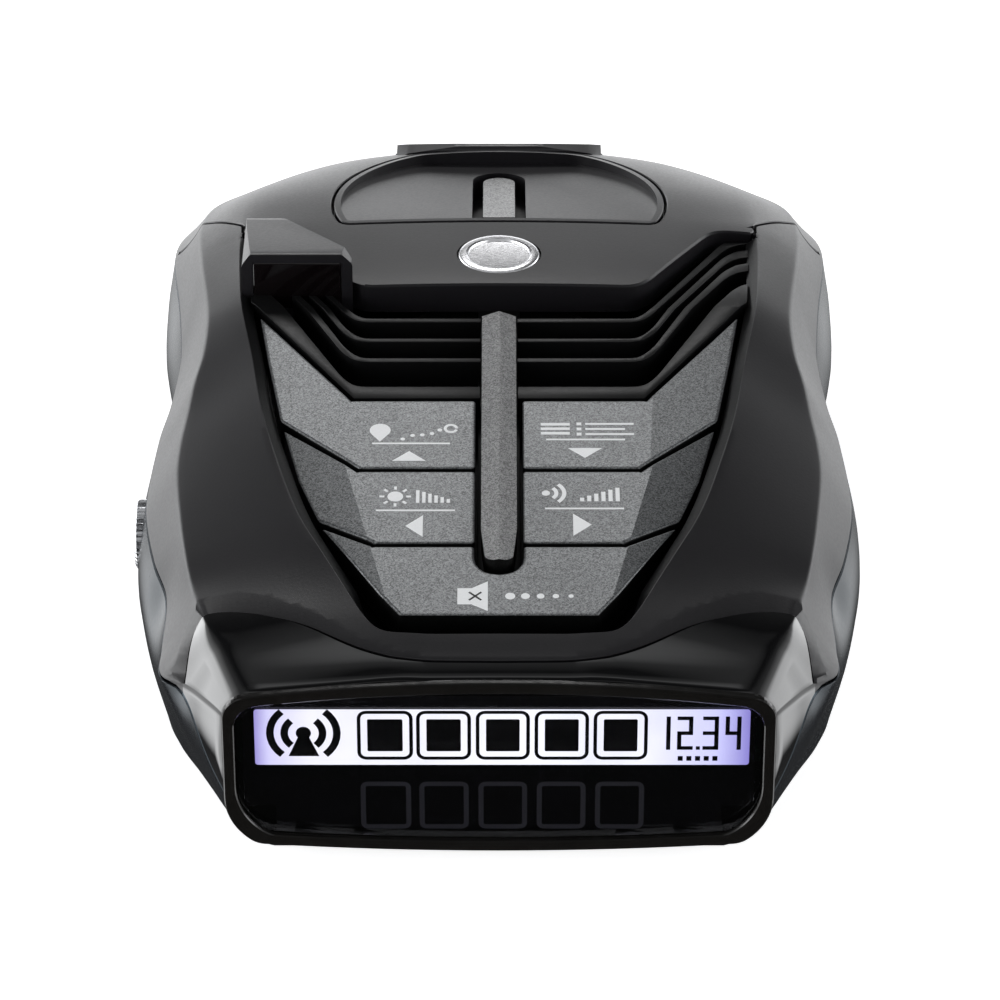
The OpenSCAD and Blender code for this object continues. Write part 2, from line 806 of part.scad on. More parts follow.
module speaker_magnet() {
    color("#63666b") at_speaker() {
        translate([0, 0, -13.4]) cylinder(d = 15, h = 3.4);
        translate([0, 0, -10.1]) cylinder(d = 12, h = 1);
    }
}

// ---- display -------------------------------------------------------------------

module display_hood() {
    color("#08080a") difference() {
        intersection() {
            case_shell();
            above_seam();
            hood_region();
        }
        translate([0, 0, rim_z]) from_front(-56, -50) rim_outline(0.5);
    }
}

module display_rim() {
    color("#322f2a") translate([0, 0, rim_z]) {
        difference() {
            union() {
                from_front(front_y, -53) rim_outline(0);
                from_front(-53, -51.6) rim_outline(0.55);
            }
            from_front(-56, -50) rim_outline(1.25);
            from_front(-53.2, -50) rim_outline(0.95);
        }
    }
}

module display_lens() {
    color("#101014", 0.6) translate([0, 0, rim_z]) from_front(-53.15, -51.8) rim_outline(1);
}

module display_module() {
    color("#20242c") {
        translate([-25.1, -51.5, 5.2]) cube([50.2, 1.3, 12.9]);
        translate([-22, -51.5, 2.6]) cube([44, 1.3, 2.7]);
        translate([-screen_w / 2, -51.65, screen_z - screen_h / 2]) cube([screen_w, 0.2, screen_h]);
    }
}

module display_holder() {
    color("#1a1a1c") difference() {
        translate([-24.4, -50.15, 7.7]) cube([48.8, 1.5, 10.2]);
        translate([-6, -51, 6]) cube([12, 4, 4.5]);
    }
}

module display_ribbon() {
    color("#b9772b") {
        translate([-5, -50.15, 7.7]) cube([10, 0.3, 2.3]);
        translate([-5, -50.15, 7.7]) cube([10, 10, 0.3]);
    }
}

// ---- main board and radar section ------------------------------------------------

module main_board() {
    color("#1f6238") difference() {
        translate([0, 0, board_z])
            linear_extrude(pcb_t)
                polygon([[-26, -45], [26, -45], [30.5, -30], [30.5, 17], [-30.5, 17], [-30.5, -30]]);
        for (p = post_places) translate([p[0], p[1], 0]) cylinder(d = 7, h = 20);
        for (p = board_posts) translate([p[0], p[1], 0]) cylinder(d = 2.2, h = 20);
    }
}

module board_screws() {
    color("#9a9da2") for (p = board_posts)
        translate([p[0], p[1], 0]) {
            translate([0, 0, 3]) cylinder(d = 1.6, h = board_z + pcb_t - 3);
            translate([0, 0, board_z + pcb_t]) cylinder(d = 3.6, h = 1.2);
        }
}

module rf_board() {
    color("#2a6b45") translate([-15, 17.6, board_z + 0.4]) cube([30, 18.9, 1.2]);
}

module shield_can() {
    color("#b4b8bd") difference() {
        translate([-14, 18.4, board_z + 1.6]) cube([28, 15, 3.4]);
        translate([-13.6, 18.8, board_z + 1]) cube([27.2, 14.2, 3.6]);
    }
}

// Flared horn: a short waveguide that opens towards the windshield
module horn_body(grow) {
    hull() {
        translate([-5 - grow, horn_y, horn_z - 2.4 - grow]) cube([10 + 2 * grow, 0.1, 4.8 + 2 * grow]);
        translate([-13 - grow, 51.2, horn_z - 4.6 - grow]) cube([26 + 2 * grow, 0.1, 9.2 + 2 * grow]);
    }
}

module radar_horn() {
    color("#a9adb2") difference() {
        union() {
            horn_body(0.7);
            translate([-5.7, horn_y - 0.9, horn_z - 3.1]) cube([11.4, 1, 6.2]);
        }
        horn_body(0);
        translate([-13, 51, horn_z - 4.6]) cube([26, 2, 9.2]);
    }
}

module front_window() {
    color("#1a0d10") translate([0, 0, horn_z])
        from_front(52.3, 53.6) rounded_rect(window_w - 0.1, window_h - 0.1, 1.55);
}

module laser_lens() {
    color("#2a1518") translate([18.5, 46.6, horn_z]) rotate([-90, 0, 0]) {
        cylinder(d = 7, h = 3.2);
        translate([0, 0, 3.2]) cylinder(d = 8.2, h = 1.2);
    }
}

module laser_sensor() {
    color("#2b2b2f") translate([15.6, 41.4, horn_z - 3]) cube([5.8, 3.4, 6]);
}

// ---- volume, power and data ---------------------------------------------------------

module volume_control() {
    color("#3a3a3e") difference() {
        translate([-33.5, knob_y - 4.5, board_z + pcb_t]) cube([8, 9, 8.8]);
        translate([-34, knob_y, knob_z]) rotate([0, 90, 0]) cylinder(r = 1.55, h = 5);
    }
}

module volume_shaft() {
    color("#b5b8bc") translate([knob_face + 1.4, knob_y, knob_z]) rotate([0, 90, 0]) cylinder(r = 1.5, h = 7.5);
}

module volume_knob() {
    color("#8f9296") translate([knob_face, knob_y, knob_z]) rotate([0, 90, 0]) difference() {
        union() {
            cylinder(d1 = knob_d - 1.2, d2 = knob_d, h = 0.6);
            translate([0, 0, 0.6]) cylinder(d = knob_d, h = 3.2);
        }
        translate([0, 0, 1.4]) cylinder(r = 1.5, h = 4);
    }
}

module power_jack() {
    color("#161618") difference() {
        union() {
            translate([22, jack_y - 4.5, board_z + pcb_t]) cube([11.6, 9, 6.8]);
            translate([33, jack_y, jack_z]) rotate([0, 90, 0]) cylinder(d = 7, h = 2.4);
        }
        translate([23.5, jack_y, jack_z]) rotate([0, 90, 0]) cylinder(d = jack_bore, h = 14);
    }
}

module usb_port() {
    color("#c0c3c7") difference() {
        translate([26.5, usb_y - 3.85, board_z + pcb_t]) cube([8.8, 7.7, 3.9]);
        translate([27.5, usb_y - 3.45, board_z + pcb_t + 0.4]) cube([9, 6.9, 3.1]);
    }
}

module housing_screws() {
    color("#8b8e93") for (p = post_places)
        translate([p[0], p[1], 0]) difference() {
            union() {
                translate([0, 0, 1.2]) cylinder(d = 4.6, h = 1.8);
                translate([0, 0, 3]) cylinder(d = 1.8, h = 13);
            }
            for (turn = [0, 90])
                rotate([0, 0, turn]) translate([-1.3, -0.3, 0]) cube([2.6, 0.6, 2.2]);
        }
}

module label_plate() {
    color("#c9c9c6") translate([-18.8, -15.8, 0.2]) cube([37.6, 25.6, 0.3]);
}

bottom_housing();
top_frame();
rear_cover();
mount_bay();
release_button();
release_spring();
rear_sensor_window();
rear_laser_sensor();
badge();
speaker_grille();
speaker_cloth();
spine_bar();
mark_key();
menu_key();
dim_key();
sensitivity_key();
mute_key();
display_hood();
display_rim();
display_lens();
display_module();
display_holder();
display_ribbon();
key_board();
tact_switches();
speaker_frame();
speaker_cone();
speaker_magnet();
main_board();
board_screws();
rf_board();
shield_can();
radar_horn();
front_window();
laser_lens();
laser_sensor();
volume_control();
volume_shaft();
volume_knob();
power_jack();
usb_port();
housing_screws();
label_plate();
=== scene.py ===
"""Looks of the windshield radar detector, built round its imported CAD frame.

Shapes are worked out in millimetres in the row frame and scaled to metres when a piece is made.
"""
import json
import math

import bmesh
import bpy
import numpy as np
from mathutils import Matrix, Vector


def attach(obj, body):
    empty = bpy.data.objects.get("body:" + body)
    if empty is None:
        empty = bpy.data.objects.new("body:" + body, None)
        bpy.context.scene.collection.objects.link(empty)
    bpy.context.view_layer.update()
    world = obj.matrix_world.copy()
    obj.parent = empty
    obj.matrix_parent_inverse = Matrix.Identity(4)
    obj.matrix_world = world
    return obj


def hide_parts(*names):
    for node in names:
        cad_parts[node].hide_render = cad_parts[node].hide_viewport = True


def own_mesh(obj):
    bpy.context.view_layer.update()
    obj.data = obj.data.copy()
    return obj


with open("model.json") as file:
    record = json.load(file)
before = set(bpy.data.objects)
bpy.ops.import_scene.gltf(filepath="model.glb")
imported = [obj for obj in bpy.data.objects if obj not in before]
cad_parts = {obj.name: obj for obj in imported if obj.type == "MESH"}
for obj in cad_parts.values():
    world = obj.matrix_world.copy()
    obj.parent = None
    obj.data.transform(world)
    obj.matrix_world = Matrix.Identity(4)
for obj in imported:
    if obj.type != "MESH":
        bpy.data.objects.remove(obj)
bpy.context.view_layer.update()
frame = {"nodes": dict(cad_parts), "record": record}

scene = bpy.context.scene
scene.view_settings.view_transform = "Standard"
scene.view_settings.look = "None"

# ---- camera --------------------------------------------------------------------

camera_data = bpy.data.cameras.new("camera")
camera = bpy.data.objects.new("camera", camera_data)
scene.collection.objects.link(camera)
camera.location = (0, -0.4114, 0.2563)
camera.rotation_euler = (math.radians(59), 0, 0)
camera_data.lens = 159.552
camera_data.sensor_width = 36
camera_data.shift_x = 0.001
camera_data.clip_start = 0.02
camera_data.clip_end = 20
scene.camera = camera

# ---- materials -----------------------------------------------------------------


def feed(tree, target, inputs):
    """Gives each input of a node its value, or another node's output to follow."""
    for key, value in inputs.items():
        if isinstance(value, bpy.types.NodeSocket):
            tree.links.new(value, target.inputs[key])
        else:
            target.inputs[key].default_value = value


def node(tree, kind, inputs=None, **settings):
    made = tree.nodes.new("ShaderNode" + kind)
    for key, value in settings.items():
        setattr(made, key, value)
    feed(tree, made, inputs or {})
    return made


def colour_ramp(tree, stops, fac):
    """Output of a ramp through (position, colour) stops."""
    ramp = node(tree, "ValToRGB", {"Fac": fac})
    while len(ramp.color_ramp.elements) < len(stops):
        ramp.color_ramp.elements.new(0.5)
    for element, (position, colour) in zip(ramp.color_ramp.elements, stops):
        element.position = position
        element.color = (*colour, 1)
    return ramp.outputs["Color"]


def shader_of(mat):
    return mat.node_tree.nodes["Principled BSDF"]


def new_material(name):
    mat = bpy.data.materials.new(name)
    mat.use_nodes = True
    return mat


def flaked(tree, base, place, cell, sparkle):
    """Metal flakes of their own lightness on upward faces; the moulding's sides stay black."""
    cells = node(tree, "TexVoronoi", {"Vector": place, "Scale": cell}).outputs["Color"]
    grey = node(tree, "SeparateColor", {"Color": cells}).outputs["Red"]
    light = node(tree, "MapRange", {"Value": grey, "To Min": 1 - sparkle, "To Max": 1 + sparkle})
    upward = node(tree, "SeparateXYZ", {"Vector": node(tree, "TexCoord").outputs["Normal"]})
    painted = node(tree, "MapRange", {"Value": upward.outputs["Z"], "From Min": 0.35, "From Max": 0.6, "To Min": 0.03})
    level = node(tree, "Math", {0: light.outputs["Result"], 1: painted.outputs["Result"]}, operation="MULTIPLY")
    scaled = node(tree, "VectorMath", {0: base, "Scale": level.outputs[0]}, operation="SCALE")
    return scaled.outputs["Vector"]


def material(name, colour, rough, metal=0.0, vary=0.12, grain=3500, depth=0.006, rough_vary=0.06,
             specular=0.5, coat=0.0, coat_rough=0.05, tint=None, stretch=None, flakes=None):
    """A Principled material whose colour, roughness and bump follow fine noise at a real scale.

    grain is the noise's scale per metre and depth its relief in millimetres. stretch draws the noise
    out into brushed lines, and flakes is the scale and the sparkle of flakes in the paint.
    """
    mat = new_material(name)
    tree = mat.node_tree
    place = node(tree, "TexCoord").outputs["Object"]
    drawn = node(tree, "Mapping", {"Vector": place, "Scale": stretch}).outputs["Vector"] if stretch else place
    fine_noise = node(tree, "TexNoise", {"Vector": drawn, "Scale": grain, "Detail": 3, "Roughness": 0.6}).outputs["Fac"]
    broad = node(tree, "TexNoise", {"Vector": place, "Scale": BROAD_NOISE, "Detail": 4}).outputs["Fac"]
    broad_part = node(tree, "Math", {0: broad, 1: 1 - FINE_SHARE}, operation="MULTIPLY").outputs[0]
    mixed = node(tree, "Math", {0: fine_noise, 1: FINE_SHARE, 2: broad_part}, operation="MULTIPLY_ADD").outputs[0]
    low = [c * (1 - vary) for c in colour]
    high = [min(1, c * (1 + vary)) for c in (tint or colour)]
    base = colour_ramp(tree, [(0.3, low), (0.7, high)], mixed)
    if flakes:
        base = flaked(tree, base, place, *flakes)
    gloss = node(tree, "MapRange", {"Value": mixed, "From Min": 0.3, "From Max": 0.7,
                                    "To Min": max(0.01, rough - rough_vary), "To Max": min(1, rough + rough_vary)})
    bump = node(tree, "Bump", {"Height": fine_noise, "Strength": 1, "Distance": depth * 0.001})
    feed(tree, shader_of(mat), {
        "Base Color": base, "Roughness": gloss.outputs["Result"], "Normal": bump.outputs["Normal"],
        "Metallic": metal, "Specular IOR Level": specular, "Coat Weight": coat, "Coat Roughness": coat_rough})
    return mat


def flake_material(name, colour, rough, scale, sparkle):
    return material(name, colour, rough, metal=0.35, vary=0.08, grain=9000, depth=0.0008, flakes=(scale, sparkle))


def brushed_material(name, colour, rough, stretch, depth=0.002):
    return material(name, colour, rough, metal=1, vary=0.1, grain=400, depth=depth, rough_vary=0.08, stretch=stretch)


def lens_material(name):
    """Clear smoked acrylic with faint wiping marks in its gloss."""
    mat = material(name, (0.62, 0.62, 0.65), 0.02, vary=0.02, grain=300, depth=0.0, rough_vary=0.008)
    feed(mat.node_tree, shader_of(mat), {"Transmission Weight": 1, "IOR": 1.49})
    return mat


def lit_surface(name, colours, strength, low, high):
    """A lit surface whose colour runs along X from low to high, with a soft mottle."""
    mat = new_material(name)
    tree = mat.node_tree
    place = node(tree, "TexCoord").outputs["Object"]
    across = node(tree, "SeparateXYZ", {"Vector": place}).outputs["X"]
    along = node(tree, "MapRange", {"Value": across, "From Min": low * 0.001, "From Max": high * 0.001})
    colour = colour_ramp(tree, colours, along.outputs["Result"])
    noise = node(tree, "TexNoise", {"Vector": place, "Scale": 180}).outputs["Fac"]
    level = node(tree, "MapRange", {"Value": noise, "To Min": 0.86, "To Max": 1.1}).outputs["Result"]
    scaled = node(tree, "VectorMath", {0: colour, "Scale": level}, operation="SCALE")
    feed(tree, shader_of(mat), {
        "Base Color": (0.02, 0.02, 0.025, 1), "Roughness": 0.35, "Emission Strength": strength,
        "Emission Color": scaled.outputs["Vector"]})
    return mat


BROAD_NOISE, FINE_SHARE = 60, 0.6
MATS = {
    "case_plastic": material("case_plastic", (0.0102, 0.0096, 0.0112), 0.38, vary=0.08, grain=3200, depth=0.010),
    "cover_plastic": material("cover_plastic", (0.0112, 0.0104, 0.0124), 0.34, vary=0.08, grain=3200,
                              depth=0.010),
    "base_plastic": material("base_plastic", (0.0065, 0.007, 0.0085), 0.24, grain=2600, depth=0.003),
    "piano_black": material("piano_black", (0.0035, 0.0035, 0.004), 0.045, vary=0.2, grain=700, depth=0.0002,
                            rough_vary=0.02, coat=0.6, coat_rough=0.02),
    "rim_plastic": material("rim_plastic", (0.006, 0.0055, 0.005), 0.14, vary=0.2, grain=900, depth=0.001,
                            rough_vary=0.05),
    "lens_plastic": lens_material("lens_plastic"),
    "screen": material("screen", (0.006, 0.006, 0.008), 0.2, vary=0.1, grain=2500, depth=0.001),
    "grille_plastic": material("grille_plastic", (0.0045, 0.0045, 0.0048), 0.36, vary=0.12, grain=2800,
                               depth=0.006, specular=0.14),
    "key_plastic": flake_material("key_plastic", (0.122, 0.127, 0.131), 0.37, 8500, 0.7),
    "flake_plastic": flake_material("flake_plastic", (0.31, 0.31, 0.312), 0.38, 8500, 0.5),
    "badge_metal": brushed_material("badge_metal", (0.80, 0.80, 0.82), 0.26, (4, 50, 4), depth=0.0004),
    "ir_window": material("ir_window", (0.0035, 0.0022, 0.0026), 0.10, vary=0.2, grain=900, depth=0.0004,
                          rough_vary=0.03, coat=0.5),
    "circuit_board": material("circuit_board", (0.02, 0.11, 0.045), 0.35, vary=0.3, grain=500, depth=0.01,
                              tint=(0.03, 0.16, 0.06)),
    "component_plastic": material("component_plastic", (0.018, 0.018, 0.020), 0.45, vary=0.15, grain=2200,
                                  depth=0.008),
    "tin_plate": brushed_material("tin_plate", (0.62, 0.63, 0.65), 0.32, (1, 1, 10)),
    "horn_metal": material("horn_metal", (0.46, 0.47, 0.49), 0.42, metal=1, vary=0.08, grain=900, depth=0.01),
    "steel": brushed_material("steel", (0.50, 0.51, 0.53), 0.34, (1, 6, 1)),
    "magnet": material("magnet", (0.05, 0.05, 0.055), 0.5, metal=0.6, vary=0.2, grain=900, depth=0.015),
    "cone_paper": material("cone_paper", (0.035, 0.034, 0.036), 0.8, vary=0.3, grain=1200, depth=0.03),
    "cloth": material("cloth", (0.006, 0.006, 0.006), 0.95, vary=0.5, grain=1600, depth=0.05),
    "polyimide": material("polyimide", (0.42, 0.17, 0.03), 0.35, vary=0.15, grain=400, depth=0.004),
    "knob_metal": brushed_material("knob_metal", (0.60, 0.61, 0.63), 0.26, (12, 1, 1)),
    "label_film": material("label_film", (0.42, 0.42, 0.41), 0.5, vary=0.06, grain=1400, depth=0.004),
}
shader_of(MATS["base_plastic"]).inputs["Specular Tint"].default_value = (0.68, 0.86, 1, 1)
ink = material("legend_ink", (0.86, 0.87, 0.88), 0.4, vary=0.06, grain=5000, depth=0.003)
feed(ink.node_tree, shader_of(ink), {"Emission Color": (0.95, 0.97, 1.0, 1), "Emission Strength": 0.08})
glyph_black = material("glyph_black", (0.003, 0.003, 0.004), 0.5, vary=0.2, grain=3000, depth=0.002)
glow = lit_surface(
    "screen_glow",
    [(0, (0.30, 0.26, 0.62)), (0.03, (0.66, 0.64, 0.92)), (0.12, (0.90, 0.90, 0.99)), (0.5, (0.92, 0.93, 1.0)),
     (0.78, (0.88, 0.89, 1.0)), (0.93, (0.62, 0.62, 0.95)), (1, (0.24, 0.21, 0.58))],
    1.9, -24.0, 24.6)
ghost_glow = lit_surface("ghost_glow", [(0, (0.5, 0.5, 0.6)), (1, (0.55, 0.55, 0.62))], 0.035, -24.7, 24.7)

# ---- mesh helpers ----------------------------------------------------------------


def piece(name, verts, faces):
    """A mesh object from millimetre coordinates, kept in millimetres until finish_piece."""
    mesh = bpy.data.meshes.new(name)
    mesh.from_pydata([tuple(map(float, v)) for v in verts], [], faces)
    mesh.update()
    made = bmesh.new()
    made.from_mesh(mesh)
    bmesh.ops.triangulate(made, faces=[f for f in made.faces if len(f.verts) > 4])
    bmesh.ops.recalc_face_normals(made, faces=made.faces)
    made.to_mesh(mesh)
    made.free()
    obj = bpy.data.objects.new(name, mesh)
    scene.collection.objects.link(obj)
    return obj


def evaluated(obj):
    """Applies an object's modifiers to its mesh."""
    depsgraph = bpy.context.evaluated_depsgraph_get()
    mesh = bpy.data.meshes.new_from_object(obj.evaluated_get(depsgraph))
    obj.modifiers.clear()
    old = obj.data
    obj.data = mesh
    bpy.data.meshes.remove(old)
    return obj


def drop(obj):
    mesh = obj.data
    bpy.data.objects.remove(obj)
    bpy.data.meshes.remove(mesh)


def combine(obj, tool, operation="DIFFERENCE", keep=False):
    """Boolean of two closed meshes."""
    mod = obj.modifiers.new("cut", "BOOLEAN")
    mod.operation = operation
    mod.solver = "MANIFOLD"
    mod.object = tool
    evaluated(obj)
    if not keep:
        drop(tool)
    return obj


def loft(name, rows):
    """Closed solid through equal rows of points."""
    m = len(rows[0])
    faces = [(k * m + j, k * m + (j + 1) % m, (k + 1) * m + (j + 1) % m, (k + 1) * m + j)
             for k in range(len(rows) - 1) for j in range(m)]
    faces += [tuple(range(m - 1, -1, -1)), tuple((len(rows) - 1) * m + j for j in range(m))]
    return piece(name, [v for row in rows for v in row], faces)


def lathe(name, rings, low, high):
    """Closed solid through equal rings, with a fan to a point at each end."""
    m, last = len(rings[0]), (len(rings) - 1) * len(rings[0])
    faces = [(j * m + k, j * m + (k + 1) % m, (j + 1) * m + (k + 1) % m, (j + 1) * m + k)
             for j in range(len(rings) - 1) for k in range(m)]
    for k in range(m):
        faces += [(last + m, (k + 1) % m, k), (last + m + 1, last + k, last + (k + 1) % m)]
    return piece(name, [v for ring in rings for v in ring] + [low, high], faces)


def plates(shapes, sides):
    """Vertices and faces of thin plates; each side maps an outline's points onto one face of its plate."""
    verts, faces = [], []
    for shape in shapes:
        n, first = len(shape), len(verts)
        for side in sides:
            verts += [side(*p) for p in shape]
        faces += [tuple(first + n + k for k in range(n)), tuple(first + k for k in range(n - 1, -1, -1))]
        faces += [(first + k, first + (k + 1) % n, first + n + (k + 1) % n, first + n + k) for k in range(n)]
    return verts, faces


def copy_of(obj, name):
    made = bpy.data.objects.new(name, obj.data.copy())
    scene.collection.objects.link(made)
    return made


def prism(points, low, high, name="tool"):
    """Vertical prism on a plan outline."""
    n = len(points)
    verts = [(x, y, low) for x, y in points] + [(x, y, high) for x, y in points]
    faces = [(k, (k + 1) % n, n + (k + 1) % n, n + k) for k in range(n)]
    return piece(name, verts, faces + [tuple(range(n - 1, -1, -1)), tuple(range(n, 2 * n))])


def side_prism(points, low, high, name="tool"):
    """Prism along X on an outline of (y, z) points."""
    made = prism(points, low, high, name)
    made.data.transform(Matrix(((0, 0, 1, 0), (1, 0, 0, 0), (0, 1, 0, 0), (0, 0, 0, 1))))
    return made


def front_prism(points, low, high, name="tool"):
    """Prism along Y on an outline of (x, z) points."""
    made = prism(points, low, high, name)
    made.data.transform(Matrix(((1, 0, 0, 0), (0, 0, 1, 0), (0, 1, 0, 0), (0, 0, 0, 1))))
    made.data.flip_normals()
    return made


def block(low, high, name="tool"):
    (x0, y0, z0), (x1, y1, z1) = low, high
    return prism([(x0, y0), (x1, y0), (x1, y1), (x0, y1)], z0, z1, name)


def circle(x, y, r, count=48, start=0.0, sweep=360.0):
    whole = sweep >= 360
    steps = count if whole else count + 1
    return [(x + r * math.cos(math.radians(start + sweep * k / count)),
             y + r * math.sin(math.radians(start + sweep * k / count))) for k in range(steps)]


def rod(x, y, r, low, high):
    return prism(circle(x, y, r), low, high)


def rounded_rect(w, h, r, cx=0.0, cy=0.0, steps=8):
    points = []
    for sx, sy, start in ((1, 1, 0), (-1, 1, 90), (-1, -1, 180), (1, -1, 270)):
        points += circle(cx + sx * (w / 2 - r), cy + sy * (h / 2 - r), r, steps, start, 90)
    return points


def sweep(path, normals, shape, name="tool", closed=False):
    """Sweeps a section of (side, up) points along a path whose surface normals are given."""
    n, m = len(path), len(shape)
    path = [Vector(p) for p in path]
    verts = []
    for k in range(n):
        a = path[(k - 1) % n] if closed or k else path[0]
        b = path[(k + 1) % n] if closed or k < n - 1 else path[-1]
        along = (b - a).normalized()
        up = Vector(normals[k])
        side = along.cross(up).normalized()
        up = side.cross(along).normalized()
        verts += [path[k] + side * s + up * u for s, u in shape]
    faces = []
    for k in range(n if closed else n - 1):
        for j in range(m):
            a, b = k * m + j, k * m + (j + 1) % m
            c, d = ((k + 1) % n) * m + (j + 1) % m, ((k + 1) % n) * m + j
            faces.append((a, b, c, d))
    if not closed:
        faces += [tuple(range(m - 1, -1, -1)), tuple((n - 1) * m + j for j in range(m))]
    return piece(name, verts, faces)


def rounded_path(points, cut, rounds):
    """Corner cutting that keeps the two ends of an open path."""
    for _ in range(rounds):
        points = [np.array(p, float) for p in points]
        out = []
        for a, b in zip(points, points[1:]):
            out += [a + (b - a) * cut, b - (b - a) * cut]
        points = [points[0]] + out[1:-1] + [points[-1]]
    return [tuple(float(c) for c in p) for p in points]


def eased(points, reach, steps=4, closed=True):
    """Rounds each corner of an outline within a fixed distance of it."""
    out = []
    n = len(points)
    for k in range(n):
        p = np.array(points[k], float)
        if not closed and k in (0, n - 1):
            out.append(tuple(p))
            continue
        a, b = np.array(points[k - 1], float), np.array(points[(k + 1) % n], float)
        la, lb = np.linalg.norm(a - p), np.linalg.norm(b - p)
        start = p + (a - p) / la * min(reach, la * 0.45)
        end = p + (b - p) / lb * min(reach, lb * 0.45)
        for s in range(steps + 1):
            t = s / steps
            out.append(tuple((1 - t) ** 2 * start + 2 * t * (1 - t) * p + t * t * end))
    return out


def mirrored(half):
    return [(-x, y) for x, y in reversed(half)] + list(half[1:] if half[0][0] == 0 else half)


WELD_GAP = 0.002


def add_bevel(obj, width, gap, segments, angle):
    """Rounds the edges sharper than an angle, after welding points closer than the gap."""
    obj.modifiers.new("weld", "WELD").merge_threshold = gap
    mod = obj.modifiers.new("edges", "BEVEL")
    mod.width = width
    mod.segments = segments
    mod.limit_method = "ANGLE"
    mod.angle_limit = math.radians(angle)


def finish_piece(obj, name, body, slot, mat=None, replaces=(), bevel=0.0, angle=32, segments=2, smooth=32):
    """Gives a millimetre mesh its edges, shading, material, scale and place in the frame."""
    obj.name = name
    obj.data.name = name
    if bevel:
        add_bevel(obj, bevel, WELD_GAP, segments, angle)
        evaluated(obj)
    obj.data.transform(Matrix.Scale(0.001, 4))
    obj.data.materials.clear()
    obj.data.materials.append(mat or MATS[slot])
    for polygon in obj.data.polygons:
        polygon.material_index = 0
    obj.data.shade_smooth()
    obj.data.set_sharp_from_angle(angle=math.radians(smooth))
    if replaces:
        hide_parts(*replaces)
    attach(obj, body)
    return obj


def slot_of(part):
    return next(s["material_slot"] for s in frame["record"]["subparts"] if s["node"] == part)


def dress(part, bevel=0.0, angle=32, segments=2):
    """Material and edge rounding for a CAD node that keeps its shape."""
    obj = frame["nodes"][part]
    obj.data.materials.clear()
    obj.data.materials.append(MATS[slot_of(part)])
    if bevel:
        add_bevel(obj, bevel * 0.001, WELD_GAP * 0.001, segments, angle)
    return obj


# ---- rails of the case -------------------------------------------------------------

CROWN = [[-53, 0, 20.7], [-50.5, 0, 21.2], [-47, 0, 22.6], [-44, 0, 23.2], [-20, 0, 26.8], [0, 0, 29.8],
         [8.4, 0, 31.1], [25, 0, 30.6], [40, 0, 29.3], [46.5, 0, 28.1], [51, 0, 26], [54, 0, 24.5]]
INNER_EDGE = [[-53, 12, 20.6], [-50.5, 11.5, 21.1], [-47, 11.5, 22.5], [-44.5, 13, 23.1],
              [-37.7, 16.6, 24.2], [-29, 20.6, 25.5], [-14, 24.4, 27.5], [-2.5, 26.1, 29.1],
              [6.5, 27.6, 30.1], [19, 28.4, 29.8], [26, 28.4, 29.3], [36, 27, 27.9],
              [46.5, 22.5, 25.2], [54, 20, 22.4]]
INNER_CREASE = [[-53, 24.8, 19.2], [-50, 26.3, 20], [-47, 27.6, 20.7], [-43, 29, 21.2],
                [-35.7, 30.8, 20.7], [-30.7, 31.8, 21.2], [-24.9, 32.6, 21.7], [-17, 33.4, 22.4],
                [-12, 33.3, 23.2], [-7.8, 32.8, 24.25], [-3.7, 32.3, 25.6], [0.6, 31.5, 27],
                [7.2, 31.4, 28], [21.1, 32.9, 27.4], [30.2, 33.5, 26.1], [40, 32.8, 23.8],
                [47, 30.4, 21.8], [54, 26.5, 19.4]]
OUTER_CREASE = [[-53, 27, 16.6], [-50, 28.9, 16.2], [-46.5, 31.2, 15.6], [-43.9, 33.7, 15],
                [-39.6, 33.8, 15.3], [-30.6, 33.8, 15.8], [-24.6, 35.4, 16.3], [-17.9, 36.6, 16.9],
                [-13.4, 36.9, 17.2], [-2, 36.3, 17.9], [4.1, 35.5, 18.3], [13.2, 34.9, 18.8],
                [18.2, 35.1, 19], [25.4, 35.7, 19], [38.4, 37.1, 18.4], [44, 36.6, 17.8],
                [49, 34.2, 17.2], [54, 29.8, 16.4]]
SIDE_BULGE = [[-53, 27.2, 10], [-50, 28.8, 10], [-46.5, 30.6, 10], [-43.9, 32, 10], [-35.1, 34.8, 10],
              [-30.4, 35.9, 10], [-21.6, 37.4, 10], [-15, 37.9, 10], [-8, 38, 10], [0, 37.4, 10],
              [8, 36, 10], [17, 36.3, 10], [27.7, 37.7, 10], [36, 38.1, 10], [42, 37.8, 10],
              [48, 35.6, 10], [54, 30.8, 10]]
BASE_RAIL = [[-53, 25.4, 3], [-49.9, 27, 3], [-45.2, 29, 3], [-41.5, 30.7, 3], [-38, 32.4, 3],
             [-33.9, 33.7, 3], [-20, 35.4, 3], [-8, 36, 3], [8, 33.8, 3], [17, 34.2, 3], [30, 35.8, 3],
             [42, 35.4, 3], [49, 32.6, 3], [54, 28.4, 3]]
FRONT_LIFT = [[-53, 0.9], [-48, 0.2], [-45, 0], [54, 0]]
SEAM_LINE = [(-54, 2.6), (-53.2, 4), (-46.5, 15.2), (-43.9, 15), (-30.6, 15.7), (-17.9, 16.7), (-2, 17.6),
             (13, 18.5), (25.4, 18.7), (38.4, 18.1), (54, 16.4)]
WALL, BASE_EDGE, FOOT_INSET = 1.8, 3.0, 3.2

